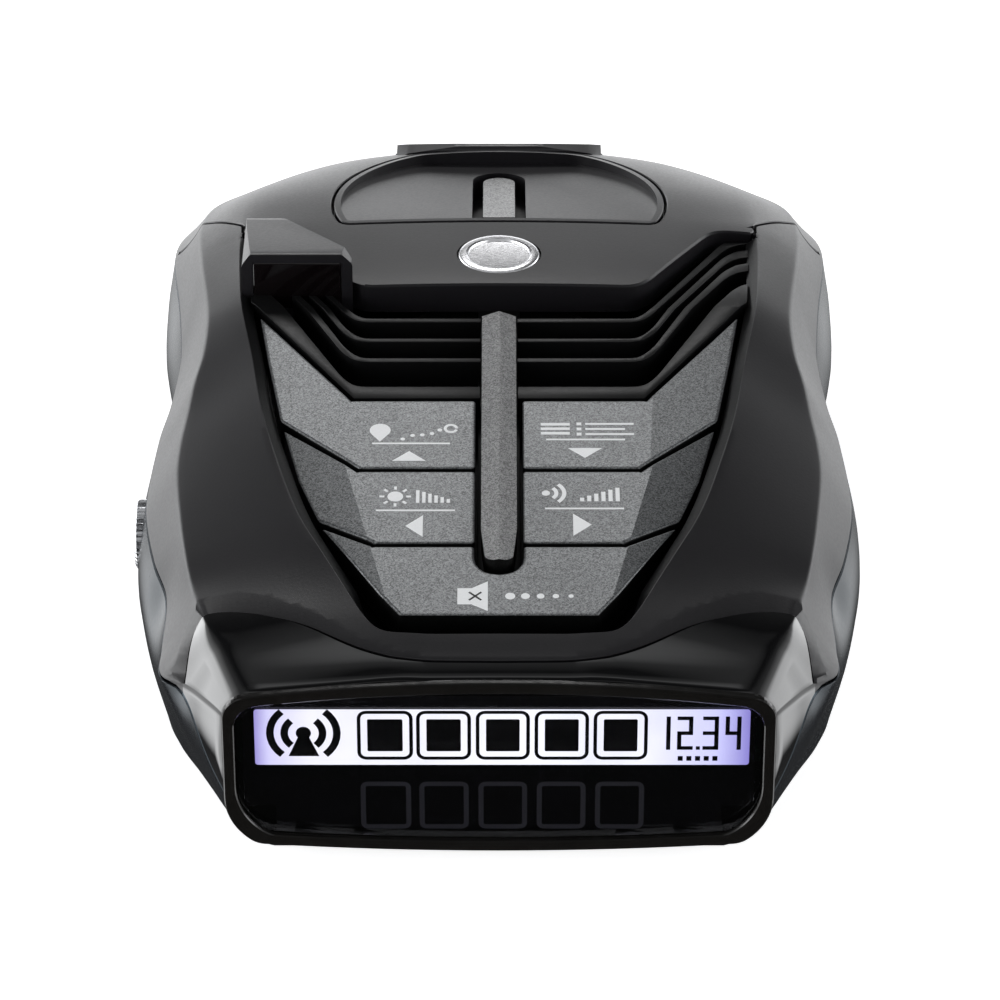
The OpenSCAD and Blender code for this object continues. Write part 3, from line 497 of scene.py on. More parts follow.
OPENING = [(0, -47.4), (10.9, -47.4), (13, -45.6), (16.6, -37.7), (20.6, -29), (24.4, -14), (26.1, -2.5),
           (26.7, 0.7), (27.6, 6.3), (28.3, 18), (28.4, 26.4)]
HOOD_SEAM = [(0, -50.5), (9.5, -50.4), (14.5, -48.4), (19.5, -44.9), (24.5, -42.5), (28.2, -41.6),
             (30.2, -42.4), (31.1, -46.5)]
COVER_FRONT = [(0, 8.4), (14.4, 8.4), (16, 9.6), (23, 21.8), (24.4, 22.8), (28.4, 22.9)]
COVER_SIDE = [(28.4, 25.4), (33.4, 33.3), (37.1, 39), (42, 46)]
POSTS = [(-27, -31), (27, -31), (-29, 38), (29, 38)]


def rail(table, y, c):
    """Column c of a rail at y, on a smooth curve through its points."""
    i = max([k for k in range(len(table) - 1) if table[k][0] <= y] or [0])
    a, b, d, e = table[max(i - 1, 0)], table[i], table[i + 1], table[min(i + 2, len(table) - 1)]
    h = d[0] - b[0]
    s = min(1.0, max(0.0, (y - b[0]) / h))
    m, n = h * (d[c] - a[c]) / (d[0] - a[0]), h * (e[c] - b[c]) / (e[0] - b[0])
    return (b[c] * (2 * s ** 3 - 3 * s * s + 1) + m * (s ** 3 - 2 * s * s + s)
            + d[c] * (3 * s * s - 2 * s ** 3) + n * (s ** 3 - s * s))


def lift_at(y):
    return float(np.interp(y, [p[0] for p in FRONT_LIFT], [p[1] for p in FRONT_LIFT]))


def section_knots(y, t):
    top = rail(CROWN, y, 2)
    edge = (rail(INNER_EDGE, y, 1), rail(INNER_EDGE, y, 2))
    shoulder = (rail(INNER_CREASE, y, 1), rail(INNER_CREASE, y, 2))
    crease = (rail(OUTER_CREASE, y, 1), rail(OUTER_CREASE, y, 2))
    bulge = (rail(SIDE_BULGE, y, 1), rail(SIDE_BULGE, y, 2))
    foot, lift = rail(BASE_RAIL, y, 1), lift_at(y)
    return [np.array(p) for p in (
        (0, top - t), (edge[0] * 0.55, edge[1] + 0.72 * (top - edge[1]) - t),
        (edge[0] - 0.2 * t, edge[1] - t), (shoulder[0] - 0.75 * t, shoulder[1] - 0.85 * t),
        (crease[0] - t, crease[1] - 0.2 * t), (bulge[0] - t, bulge[1]),
        (foot - t, BASE_EDGE + lift * 0.5), (foot - FOOT_INSET - 0.4 * t, lift + t), (0, lift + t))]


def spline(a, b, c, d, u):
    return 0.5 * (2 * b + (c - a) * u + (2 * a - 5 * b + 4 * c - d) * u * u + (3 * b - a - 3 * c + d) * u ** 3)


def bend(a, p, b, steps):
    return [(1 - t) ** 2 * a + 2 * t * (1 - t) * p + t * t * b for t in (k / (steps + 1) for k in range(1, steps + 1))]


def half_curve(y, t=0.0):
    """Fine right half of the case's section at y: a soft roof, flat wings and facets with crisp creases."""
    p = section_knots(y, t)
    round_in, round_out = 0.4 + 1.5 * min(1.0, max(0.0, (-43.5 - y) / 3)), 0.45
    out = []
    soft = min(1.0, max(0.0, (y - 22) / 16))
    ghost_low = p[1] * np.array([-1, 1])
    ghost_high = p[3] * 2 - p[2]
    for k in range(8):
        out.append(spline(ghost_low, p[0], p[1], p[2], k / 8))
    for k in range(8):
        out.append(spline(p[0], p[1], p[2], p[3], k / 8))
    end = 1 - round_in / np.linalg.norm(p[3] - p[2])
    for k in range(15):
        s = end * k / 14
        out.append(spline(p[1], p[2], p[3], ghost_high, s) * soft + (p[2] + (p[3] - p[2]) * s) * (1 - soft))
    facet = p[4] - p[3]
    length = np.linalg.norm(facet)
    unit = facet / length
    b = p[3] + unit * round_in
    c = p[4] - unit * round_out
    out += bend(out[-1], p[3], b, 4)
    for k in range(9):
        out.append(b + (c - b) * k / 8)
    side = p[5] - p[4]
    start = round_out / np.linalg.norm(side)
    first = spline(p[4] * 2 - p[5], p[4], p[5], p[6], start)
    out += bend(c, p[4], first, 4)
    for k in range(9):
        out.append(spline(p[4] * 2 - p[5], p[4], p[5], p[6], start + (1 - start) * k / 9))
    for k in range(7):
        out.append(spline(p[4], p[5], p[6], p[6] * 2 - p[5], k / 7))
    corner = ((p[6] + p[7]) / 2 + np.array([p[6][0], p[7][1]])) / 2
    out.append(p[6])
    out += bend(p[6], corner, p[7], 6)
    for k in range(4):
        out.append(p[7] + (p[8] - p[7]) * k / 4)
    out.append(p[8])
    return np.array(out)


TOP_COUNT = 8 + 8 + 15 + 4 + 9


def case_solid(t, ys, shrink, name):
    """Closed loft of the case; shrink gives each end station's extra inset."""
    rings = []
    for y, extra in zip(ys, shrink):
        half = half_curve(y, t + extra)
        ring = [(x, y, z) for x, z in half] + [(-x, y, z) for x, z in half[-2:0:-1]]
        rings.append(ring)
    m = len(rings[0])
    verts = [v for ring in rings for v in ring]
    faces = []
    for k in range(len(rings) - 1):
        for j in range(m):
            a, b = k * m + j, k * m + (j + 1) % m
            faces.append((a, b, b + m, a + m))
    faces += [tuple(range(m)), tuple((len(rings) - 1) * m + j for j in range(m - 1, -1, -1))]
    return piece(name, verts, faces)


_tops = {}


def top_z(x, y):
    """Height of the case's upper surface over a plan point."""
    key = round(y, 3)
    if key not in _tops:
        _tops[key] = half_curve(min(54, max(-53, y)))[:TOP_COUNT]
    half = _tops[key]
    return float(np.interp(abs(x), half[:, 0], half[:, 1]))


def top_normal(x, y):
    dx = (top_z(x + 0.2, y) - top_z(x - 0.2, y)) / 0.4
    dy = (top_z(x, y + 0.2) - top_z(x, y - 0.2)) / 0.4
    return (-dx, -dy, 1)


def side_x(y, z):
    """Half width of the case at a height on its side."""
    half = half_curve(min(54, max(-53, y)))
    low = half[TOP_COUNT - 6:TOP_COUNT + 30]
    return float(np.interp(-z, -low[:, 1], low[:, 0]))


def fine(path, step=0.6):
    """Resamples a path at an even step."""
    pts = np.array(path, float)
    d = np.r_[0, np.cumsum(np.linalg.norm(np.diff(pts, axis=0), axis=1))]
    s = np.linspace(0, d[-1], max(2, int(d[-1] / step)))
    return [tuple(float(np.interp(v, d, pts[:, c])) for c in range(pts.shape[1])) for v in s]


FINE_GROOVE = [(-0.3, 0.3), (-0.28, 0.04), (-0.13, -0.12), (-0.12, -1.2), (0.12, -1.2), (0.13, -0.12),
               (0.28, 0.04), (0.3, 0.3)]
BAY_GROOVE = [(-0.34, 0.3), (-0.3, 0.02), (-0.17, -0.1), (-0.16, -1.1), (0.16, -1.1), (0.17, -0.1),
              (0.3, 0.02), (0.34, 0.3)]
CHAMFER = [(-0.4, 0.0), (0.0, -0.4), (0.4, 0.0), (0.0, 0.4)]


def hood_band():
    """Cuts the wings down towards the hood along their seam, most at the two corners."""
    pts = fine(mirrored(hood_half))
    path = [(x, y, top_z(x, y)) for x, y in pts]
    rows = []
    for k, (x, y, z) in enumerate(path):
        a, b = Vector(path[max(0, k - 1)]), Vector(path[min(len(path) - 1, k + 1)])
        along = (b - a).normalized()
        side = along.cross(Vector(top_normal(x, y))).normalized()
        up = side.cross(along).normalized()
        reach = 0.5 + 2.6 * min(1.0, max(0.0, (abs(x) - 8) / 18)) ** 1.3 * min(1.0, max(0.0, (33 - abs(x)) / 4))
        deep = 0.1 + 0.16 * reach
        rows.append([Vector((x, y, z)) + side * s + up * u
                     for s, u in ((-reach, 0.02), (-reach, 2.0), (0.4, 2.0), (0.4, -deep))])
    return loft("hood_band", rows)


def surface_cut(plan, shape, closed=False, offset=0.0):
    """A tool that follows a plan path along the upper surface of the case."""
    pts = fine(plan)
    if closed:
        pts = pts[:-1]
    path = [(x, y, top_z(x, y) + offset) for x, y in pts]
    return sweep(path, [top_normal(x, y) for x, y in pts], shape, closed=closed)


# ---- panel plane -------------------------------------------------------------------

SLOPE_S, SLOPE_C = 0.139173, 0.990268
PANEL_Y, PANEL_Z = -46.5, 22.8


def on_panel(u, v, w):
    return (u, PANEL_Y + v * SLOPE_C - w * SLOPE_S, PANEL_Z + v * SLOPE_S + w * SLOPE_C)


PANEL_MATRIX = Matrix(((1, 0, 0, 0), (0, SLOPE_C, -SLOPE_S, PANEL_Y), (0, SLOPE_S, SLOPE_C, PANEL_Z), (0, 0, 0, 1)))


def panel_prism(points, low, high, name="tool"):
    made = prism(points, low, high, name)
    made.data.transform(PANEL_MATRIX)
    return made


# ---- shells ------------------------------------------------------------------------

inner_ys = list(np.linspace(-51.2, 52.2, 60))
ys = [-53, -52.85, -52.6] + list(np.linspace(-52, 53, 150)) + [53.4, 53.7, 53.9, 54]
outer_shrink = [0.22, 0.07, 0] + [0] * 150 + [0.05, 0.2, 0.42, 0.7]
outer = case_solid(0, ys, outer_shrink, "outer")
inner = case_solid(WALL, inner_ys, [0] * 60, "inner")
shell = combine(copy_of(outer, "shell"), inner, "DIFFERENCE", keep=True)
seam = [(-54, 2.6)] + rounded_path(SEAM_LINE, 0.2, 2)[1:-1] + [(56, 16.3)]
above = side_prism(seam + [(56, 60), (-60, 60), (-60, 2.6)], -60, 60, "above")

opening_half = rounded_path(OPENING, 0.2, 3)
hood_half = rounded_path(HOOD_SEAM, 0.22, 3)
cover_front = eased(mirrored(COVER_FRONT), 1.3, 5, closed=False)
cover_side = rounded_path(COVER_SIDE, 0.22, 2)
opening_tool = prism(mirrored(opening_half), 12, 42, "opening")
hood_plan = [(-60, -60), (-60, -46.5)] + mirrored(hood_half) + [(60, -46.5), (60, -60)]
hood_tool = prism(hood_plan, -5, 42, "hood")
cover_plan = ([(-60, 46)] + [(-x, y) for x, y in reversed(cover_side)] + cover_front[1:-1] + cover_side
              + [(60, 46), (60, 60), (-60, 60)])
cover_tool = prism(cover_plan, -5, 42, "cover")

# Seams between the shells, as grooves with a hairline gap at the bottom
hood_groove = surface_cut(mirrored(hood_half), FINE_GROOVE)
side_grooves = []
for side in (1, -1):
    pts = [(y, z) for y, z in fine(seam) if -53.3 < y < 54]
    path = [(side * side_x(y, z), y, z) for y, z in pts]
    path = path + [(side * 27, 54.4, 16.35)]
    side_grooves.append(sweep(path, [(side, 0, 0.15)] * len(path), FINE_GROOVE))
back_groove = sweep([(-27.5, 54, 16.35), (0, 54, 16.35), (27.5, 54, 16.35)], [(0, 1, 0)] * 3, FINE_GROOVE)
cover_edge = [(27.9, 22.9), (28.3, 23.4)] + [(x, y) for x, y in cover_side if x < 37.2]
cover_paths = [surface_cut([(side * x, y) for x, y in cover_edge], BAY_GROOVE) for side in (1, -1)]

# The display opening and the rim's outline, seen from the front
RIM_W, RIM_H, RIM_Z, TOP_R, LOW_R, BOW_TOP, BOW_LOW = 54, 19.8, 10.9, 2.6, 6.4, 190, 330


def rim_outline(shrink):
    """Front view outline of the rim: bowed long edges, round corners, the lower ones rounder."""
    w, h = RIM_W - 2 * shrink, RIM_H - 2 * shrink
    floor_x = w / 2 - LOW_R
    top = [(x, h / 2 - BOW_TOP + math.sqrt(BOW_TOP ** 2 - x * x)) for x in np.linspace(w / 2, -w / 2, 31)]
    low = [(x, BOW_LOW - h / 2 - math.sqrt(BOW_LOW ** 2 - x * x)) for x in np.linspace(-floor_x, floor_x, 25)]
    right = [(x, z) for x, z in circle(floor_x, LOW_R - h / 2, LOW_R, 16, -88, 88)
             if z > BOW_LOW - h / 2 - math.sqrt(BOW_LOW ** 2 - x * x) + 0.15]
    left = [(-x, z) for x, z in reversed(right)]
    corner = circle(w / 2 - TOP_R, top[0][1] - 2.25, TOP_R, 10, 2, 84)

    def clear_of_corners(points):
        return [(x, z) for x, z in points if abs(x) < w / 2 - 2.4 or z < 2]

    outline = corner + clear_of_corners(top[1:-1]) + [(-x, z) for x, z in reversed(corner)]
    outline += clear_of_corners(left + [p for p in low if abs(p[0]) < w / 2 - 7] + right)
    return [(x, z + RIM_Z) for x, z in outline]


rim_hole = front_prism(rim_outline(0.5), -57, -50, "rim_hole")

# Lower shell
base = combine(copy_of(shell, "base"), above, keep=True)
for x, y in POSTS:
    combine(base, rod(x, y, 3.2, 1, 11.5), "UNION")
combine(base, rim_hole, keep=True)
for x, y in POSTS:
    combine(base, rod(x, y, 2.5, -1, 3))
    combine(base, rod(x, y, 1.3, 2, 14))
combine(base, front_prism(rounded_rect(46, 10.6, 1.6, 0, 10), 51, 56))
combine(base, side_prism(circle(-12, 12, 4.2), -42, -34))
combine(base, side_prism(circle(9, 11, 3.7), 30, 42))
combine(base, block((33, -8.3, 7.6), (42, 0.3, 12.1)))
combine(base, prism(rounded_rect(38, 26, 1.2, 0, -3), -1, 0.5))
for tool in side_grooves + [back_groove]:
    combine(base, tool, keep=True)
finish_piece(base, "lower_shell", "housing", "base_plastic", replaces=("bottom_housing",))

# Frame: the wings and the front lip
upper = combine(shell, above, "INTERSECT", keep=True)
wings = copy_of(upper, "wings")
for tool in (opening_tool, hood_tool, cover_tool):
    combine(wings, tool, keep=True)
for tool in side_grooves + [hood_groove] + cover_paths:
    combine(wings, tool, keep=True)
crest = surface_cut([(x, y) for x, y in mirrored(opening_half) if y < 22.6], CHAMFER, offset=0.22)
combine(wings, crest)
combine(wings, hood_band())
finish_piece(wings, "wings", "housing", "case_plastic", replaces=("top_frame",), smooth=26)

# Hood round the display
hood = copy_of(upper, "hood")
combine(hood, hood_tool, "INTERSECT", keep=True)
combine(hood, rim_hole, keep=True)
for tool in side_grooves + [hood_groove]:
    combine(hood, tool, keep=True)
finish_piece(hood, "hood", "housing", "piano_black", replaces=("display_hood",), smooth=26)

# ---- rear cover --------------------------------------------------------------------

LIP_DEPTH, LIP_T, ARCH_R = 3.4, 1.5, 62
SLOT_W, SLOT_H, SLOT_Z, SLOT_END, SLOT_MOUTH, TUNNEL = 22, 4.7, 18.2, 29, 53.9, 1.1
BAY_FRONT, BAY_BACK, BAY_FLOOR, BAY_SLOPE, BAY_RIM, BAY_PLATE = 23.9, 46.6, 30.4, math.radians(9.5), 0.9, 1.4
BADGE_Y, BADGE_Z, BADGE_D = 15.4, 29.9, 9
POD_PLAN = [(-27.6, 8.3), (-15.7, 8.3), (-15.8, 9.4), (-18.4, 12.9), (-21, 16.3), (-23, 19), (-24.6, 20.8),
            (-25, 22.9), (-27.6, 22.9)]
POD_SIDE = [(8, 25.6), (8, 34.8), (19.6, 33.3), (22.6, 31.2), (23, 30.4), (23, 25.6)]
POD_LEFT, POD_RIGHT, POD_TOP, POD_FLOOR, POD_WALL, WINDOW_Z = -27.6, -15.7, 34.8, 25.6, 1.2, 28.2


def bay_outline(grow):
    """D-shaped plan: a circle cut off square at its front and back."""
    low, high = BAY_FRONT - grow, BAY_BACK + grow
    r = 18.6 + grow
    pts = [(x, min(high, max(low, y))) for x, y in circle(0, 30.4, r, 120)]
    tidy = [pts[0]]
    for p in pts[1:]:
        if math.dist(p, tidy[-1]) > 0.02:
            tidy.append(p)
    corners = []
    for k, p in enumerate(tidy):
        a, b = np.array(tidy[k - 1]) - p, np.array(tidy[(k + 1) % len(tidy)]) - p
        turn = math.degrees(math.acos(max(-1, min(1, -(a @ b) / np.linalg.norm(a) / np.linalg.norm(b)))))
        corners.append(turn > 20)
    out = []
    for k, p in enumerate(tidy):
        if corners[k] or min(math.dist(p, q) for q, sharp in zip(tidy, corners) if sharp) > 2.2:
            out.append(p)
    return eased(out, 2.0, 6)


def bay_slab(drop, rise):
    """Everything above (rise > 0) or below the bay's floor plane."""
    c, s = math.cos(BAY_SLOPE), math.sin(BAY_SLOPE)
    y0, z0 = BAY_FRONT, BAY_FLOOR - drop
    pts = [(-5, 0), (40, 0), (40, rise), (-5, rise)]
    return side_prism([(y0 + a * c + b * s, z0 - a * s + b * c) for a, b in pts], -30, 30)


def pill(grow, low, high):
    w = 3.56 / 2 + grow
    front, back = 26.6 - grow, 41 + grow
    return prism([(-w, front), (w, front)] + circle(0, back - w, w, 24, 0, 180), low, high)


cover = combine(copy_of(upper, "cover"), cover_tool, "INTERSECT", keep=True)
back_edge = [(x * 0.985, y + LIP_T) for x, y in reversed(cover_front)]
lip = prism(cover_front + back_edge, 31.1 - LIP_DEPTH, 40)
combine(lip, outer, "INTERSECT", keep=True)
combine(cover, lip, "UNION")
slot_lip = side_prism(eased([(46.9, 25), (46.9, 28), (47.7, 28.4), (53.2, 25.3), (53.9, 24.6), (53.9, 23.4),
                             (48, 24.2)], 0.35, 3), -SLOT_W / 2 - 0.8, SLOT_W / 2 + 0.8)
arch = [(-11.8, 20), (-11.8, 26.8)]
arch += [(x, 28.4 - ARCH_R + math.sqrt(ARCH_R ** 2 - x * x)) for x in np.linspace(-10.5, 10.5, 25)]
arch += [(11.8, 26.8), (11.8, 20)]
combine(slot_lip, front_prism(arch, 40, 60), "INTERSECT")
combine(cover, slot_lip, "UNION")

# Sensor pod: its plan under its side and front profiles, with rounded edges
pod = prism(POD_PLAN, POD_FLOOR, POD_TOP + 1, "pod")
combine(pod, side_prism(eased(POD_SIDE, 0.7, 4), -30, -10), "INTERSECT")
pod_front = [(POD_LEFT, POD_FLOOR), (POD_LEFT, POD_TOP - 1.4), (POD_LEFT + 1, POD_TOP), (POD_RIGHT - 1.2, POD_TOP),
             (POD_RIGHT, POD_TOP - 1.2), (POD_RIGHT, POD_FLOOR)]
combine(pod, front_prism(eased(pod_front, 0.4, 4), 0, 30), "INTERSECT")
combine(cover, pod, "UNION")
for x, y in POSTS:
    if y > 0:
        combine(cover, rod(x, y, 2.8, 11.6, 23.5), "UNION")
combine(cover, block((POD_LEFT + POD_WALL, 7.3, WINDOW_Z), (POD_RIGHT - POD_WALL, 10.7, POD_TOP - 1.1)))
combine(cover, block((POD_LEFT + POD_WALL, 7.3, WINDOW_Z), (POD_LEFT + POD_WALL + 7, 16.3, POD_TOP - 2.4)))
combine(cover, prism(bay_outline(0.06), 18, 48))
tunnel_outline = rounded_rect(SLOT_W + 2 * TUNNEL, SLOT_H + 2 * TUNNEL, 0.3, 0, SLOT_Z + SLOT_H / 2)
combine(cover, front_prism(tunnel_outline, 40, 56))
combine(cover, rod(0, BADGE_Y, BADGE_D / 2 + 0.1, BADGE_Z, 34))
for tool in side_grooves + [back_groove] + cover_paths:
    combine(cover, tool, keep=True)
front_edge = surface_cut([p for p in cover_front if p[0] > -14.6], CHAMFER, offset=0.18)
combine(cover, front_edge)
bay_edge = surface_cut(bay_outline(0.0) + bay_outline(0.0)[:1], BAY_GROOVE, closed=True)
combine(cover, bay_edge, keep=True)
finish_piece(cover, "cover", "housing", "cover_plastic", replaces=("rear_cover",), smooth=26)

# Bracket bay: a rim flush with the roof round a floor that slopes down to the back
bay = prism(bay_outline(-0.1), 22, 42, "bay")
combine(bay, outer, "INTERSECT", keep=True)
hollow = prism(bay_outline(-BAY_RIM), 10, 42)
combine(hollow, bay_slab(0, 20), "INTERSECT")
combine(bay, hollow)
combine(bay, bay_edge)
under = prism(bay_outline(-BAY_RIM - 0.1), 10, 42)
combine(under, bay_slab(BAY_PLATE, -20), "INTERSECT")
combine(under, pill(2.4, 20, 42))
combine(bay, under)
tunnel = block((-SLOT_W / 2 - TUNNEL, SLOT_END - TUNNEL, SLOT_Z - TUNNEL),
               (SLOT_W / 2 + TUNNEL, SLOT_MOUTH, SLOT_Z + SLOT_H + TUNNEL))
combine(bay, tunnel, "UNION")
combine(bay, rod(0, 32.6, 3.7, 11.5, 18.4), "UNION")
combine(bay, block((-SLOT_W / 2, SLOT_END, SLOT_Z), (SLOT_W / 2, 60, SLOT_Z + SLOT_H)))
combine(bay, rod(0, 32.6, 2.8, 12.6, SLOT_Z + SLOT_H + 0.3))
combine(bay, rod(0, 32.6, 1.7, SLOT_Z, 30))
combine(bay, pill(1.2, 24.6, 42))
finish_piece(bay, "bracket_bay", "housing", "cover_plastic", replaces=("mount_bay",), smooth=26)

dress("release_button", bevel=0.3, segments=3)

# ---- louvred insert -----------------------------------------------------------------

FIRST_BLADE, BLADE_T, SIDE_BLADE_T, BLADE_PITCH = 42.5, 0.65, 1.9, 3.5


def insert_ring():
    """Dark band between the wings' crest and the keys: it slopes down and in, then drops away."""
    outer_pts = fine([(x, y) for x, y in opening_half if y < 22.8], 0.8)
    pts = []
    for k, (x, y) in enumerate(outer_pts):
        a = np.array(outer_pts[max(0, k - 1)])
        b = np.array(outer_pts[min(len(outer_pts) - 1, k + 1)])
        along = (b - a) / np.linalg.norm(b - a)
        inward = np.array([-along[1], along[0]])
        side = min(1.0, max(0.0, (y + 46.2) / 5))
        reach = 0.35 + 0.8 * side
        fall = 2.2 - 1.3 * side
        q = np.array([x, y]) + inward * reach
        if k == 0:
            q[0] = 0
        z = top_z(x, y)
        pts.append(((x, y, z - 0.1), (q[0], q[1], z - fall), (q[0], q[1], z - 6), (x - 0.02, y, z - 6.4)))
    rows = [[(-p[0], p[1], p[2]) for p in row] for row in reversed(pts[1:])] + [list(row) for row in pts]
    return loft("insert_ring", rows)


ring = insert_ring()
finish_piece(ring, "insert_ring", "housing", "grille_plastic", smooth=30)


def chevron(v, t, soft=1.4):
    """Louvre plan in the panel plane: straight in the middle, rising outwards, level at its ends."""
    path = [(0, v), (14.9, v), (16.5, v + 1.5), (24.6, v + 17.2), (26.2, v + 18.8), (28.4, v + 19.2)]
    path = eased(path, soft, 5, closed=False)
    back = [(x, y + t + (SIDE_BLADE_T - t) * min(1.0, max(0.0, (x - 14.4) / 4.5))) for x, y in path]
    return [(-x, y) for x, y in path[:0:-1]] + path + back[::-1] + [(-x, y) for x, y in back[1:]]


inside_half = [(x - 1.0 if y > -40 else x, y) for x, y in opening_half[1:] if y < 22.7]
inside = prism([(-x, y) for x, y in reversed(inside_half)] + inside_half, 5, 40)
ceiling = side_prism([(-60, 5), (-60, 21), (PANEL_Y, PANEL_Z), (5, 30), (27, 28.6), (27, 5)], -40, 40)
pod_room = prism([(-28.4, 8.25), (-15.6, 8.25), (-15.7, 9.4), (-18.3, 12.9), (-24.5, 20.9), (-28.4, 23)], 24, 40)
roof_room = prism([(-30, 8.35)] + [p for p in cover_front if abs(p[0]) < 24.6]
                  + [(30, 22.7), (30, 60), (-30, 60)], 5, 45)

blades = []
for k in range(3):
    blade = panel_prism(chevron(FIRST_BLADE + k * BLADE_PITCH, BLADE_T), -5.2, 0)
    combine(blade, inside, "INTERSECT", keep=True)
    combine(blade, ceiling, "INTERSECT", keep=True)
    combine(blade, pod_room, keep=True)
    combine(blade, roof_room, keep=True)
    blades.append(blade)
shelf_front = [(0, 36.4), (15.1, 36.4), (25.7, 52.3), (27.5, 55)]
shelf_back = eased([(0, 38.4), (15, 38.4), (16.4, 39.9), (25.2, 56.6), (26.4, 58), (28, 58.3)], 1.2, 4, closed=False)
shelf_half = shelf_front[1:] + shelf_back[::-1][:-1]
shelf = panel_prism([(-x, y) for x, y in shelf_half[::-1]] + shelf_half, -5.2, -0.15)
combine(shelf, inside, "INTERSECT", keep=True)
combine(shelf, ceiling, "INTERSECT", keep=True)
slot = panel_prism([(-1.95, 0), (1.95, 0), (1.95, 60), (-1.95, 60)], -2.65, 10)
skirt = prism(mirrored([(x, y) for x, y in opening_half if y < 14]), 5, 40)
combine(skirt, panel_prism([(-60, -20), (60, -20), (60, 70), (-60, 70)], -5.05, -4.55), "INTERSECT")
room = [(0, 4.6), (8.6, 4.6), (15, 17.5), (18.6, 30), (20.6, 43), (21.6, 70)]
combine(skirt, panel_prism([(-x, y) for x, y in room[:0:-1]] + room, -20, 20))
combine(skirt, block((-16, -60, 0), (16, -44.2, 21.6)))
finish_piece(skirt, "insert_skirt", "housing", "grille_plastic")
centre = panel_prism([(-2.2, 11.1), (2.2, 11.1), (2.2, 57), (-2.2, 57)], -4.6, -2.65)
apron = panel_prism([(-4, 11.1), (4, 11.1), (4, 42), (-4, 42)], -5, -4.2)
for blade in blades + [shelf]:
    combine(blade, slot, keep=True)
for k, blade in enumerate(blades):
    finish_piece(blade, f"louvre_{k + 1}", "housing", "grille_plastic", bevel=0.28, segments=3, smooth=30)
finish_piece(shelf, "insert_shelf", "housing", "grille_plastic", bevel=0.35, segments=3, smooth=30)
finish_piece(centre, "insert_rib", "housing", "grille_plastic", bevel=0.1)
finish_piece(apron, "insert_apron", "housing", "grille_plastic", bevel=0.1)
baffle = front_prism([(-25.5, 21.5), (25.5, 21.5), (25.5, 26.3), (20, 27.2), (-20, 27.2), (-25.5, 26.3)], 22.1, 22.7)
finish_piece(baffle, "insert_baffle", "housing", "grille_plastic")
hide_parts("speaker_grille")

# ---- keys, spine and legends ----------------------------------------------------------

for part in ("mark_key", "menu_key", "dim_key", "sensitivity_key", "mute_key"):
    dress(part, bevel=0.28, segments=3, angle=24)
dress("spine_bar", bevel=0.22, segments=3, angle=14)


def decal(name, shapes, body, mat=ink, rise=0.0):
    """Printed shapes on the panel plane: each is an outline of (u, v) points, raised by the ink's thickness."""
    sides = [lambda u, v, w=w: on_panel(u, v, w) for w in (-0.01, 0.025 + rise)]
    return finish_piece(piece(name, *plates(shapes, sides)), name, body, "key_plastic", mat=mat)


def bar(x0, y0, x1, y1):
    return [(x0, y0), (x1, y0), (x1, y1), (x0, y1)]


def arc_band(x, y, r0, r1, start, end, steps=10):
    outer_arc = circle(x, y, r1, steps, start, end - start)
    inner_arc = circle(x, y, r0, steps, start, end - start)
    return outer_arc + inner_arc[::-1]


# Mark: a map pin, a small map beside it, a rule and an upward triangle
pin_x, pin_y = -12.25, 30.8
pin = circle(pin_x, pin_y, 1.08, 20, -35, 250) + [(pin_x, 28.95)]
route = [(-9.9, 29.35), (-8.9, 29.95), (-7.9, 30.05), (-6.9, 30.25), (-6.1, 30.85)]
map_shapes = [circle(x, y, 0.24, 14) for x, y in route] + [arc_band(-4.95, 31.1, 0.45, 0.75, 0, 360, 20)]
mark_shapes = [pin] + map_shapes + [bar(-13.05, 28.5, -5.03, 28.75), [(-10.94, 25.75), (-7.48, 25.75), (-9.2, 27.35)]]
decal("mark_legend", mark_shapes, "mark")

# Menu: three rules, a list of rows, a rule and a downward triangle
menu_shapes = [bar(4.3, 30.1 + 0.75 * k, 7.3, 30.52 + 0.75 * k) for k in range(3)]
for k in range(3):
    row = 29.95 + 0.85 * k
    menu_shapes += [bar(8.0, row, 8.5, row + 0.45), bar(8.9, row + 0.08, 13.9 - 0.9 * (k == 1), row + 0.37)]
menu_shapes += [bar(4.83, 29.15, 12.96, 29.4), [(8.8, 26.25), (10.57, 27.85), (7.06, 27.85)]]
decal("menu_legend", menu_shapes, "menu")

# Dim: a sun, a falling row of bars, a rule and a leftward triangle
sun_x, sun_y = -10.5, 19.95
dim_shapes = [circle(sun_x, sun_y, 0.8, 24)]
for k in range(8):
    angle = math.radians(45 * k)
    c, s = math.cos(angle), math.sin(angle)
    dim_shapes.append([(sun_x + c * a - s * b, sun_y + s * a + c * b)
                       for a, b in ((1.1, -0.14), (1.6, -0.14), (1.6, 0.14), (1.1, 0.14))])
dim_shapes += [bar(-8.4 + 0.62 * k, 18.95, -8.05 + 0.62 * k, 20.95 - 0.28 * k) for k in range(6)]
dim_shapes += [bar(-12.4, 17.6, -4.44, 17.85), [(-9.4, 15.25), (-7.65, 13.55), (-7.65, 16.95)]]
decal("dim_legend", dim_shapes, "dim")

# Sensitivity: waves from a point, rising bars, a rule and a rightward triangle
wave_shapes = [circle(4.75, 20.5, 0.42, 16)]
wave_shapes += [arc_band(4.75, 20.5, r, r + 0.42, -48, 48) for r in (0.85, 1.65)]
wave_shapes += [bar(8.2 + 0.72 * k, 19.2, 8.62 + 0.72 * k, 19.75 + 0.32 * k) for k in range(6)]
wave_shapes += [bar(4.64, 17.9, 12.61, 18.15), [(9.3, 15.45), (7.45, 17.2), (7.45, 13.7)]]
decal("sensitivity_legend", wave_shapes, "sensitivity")

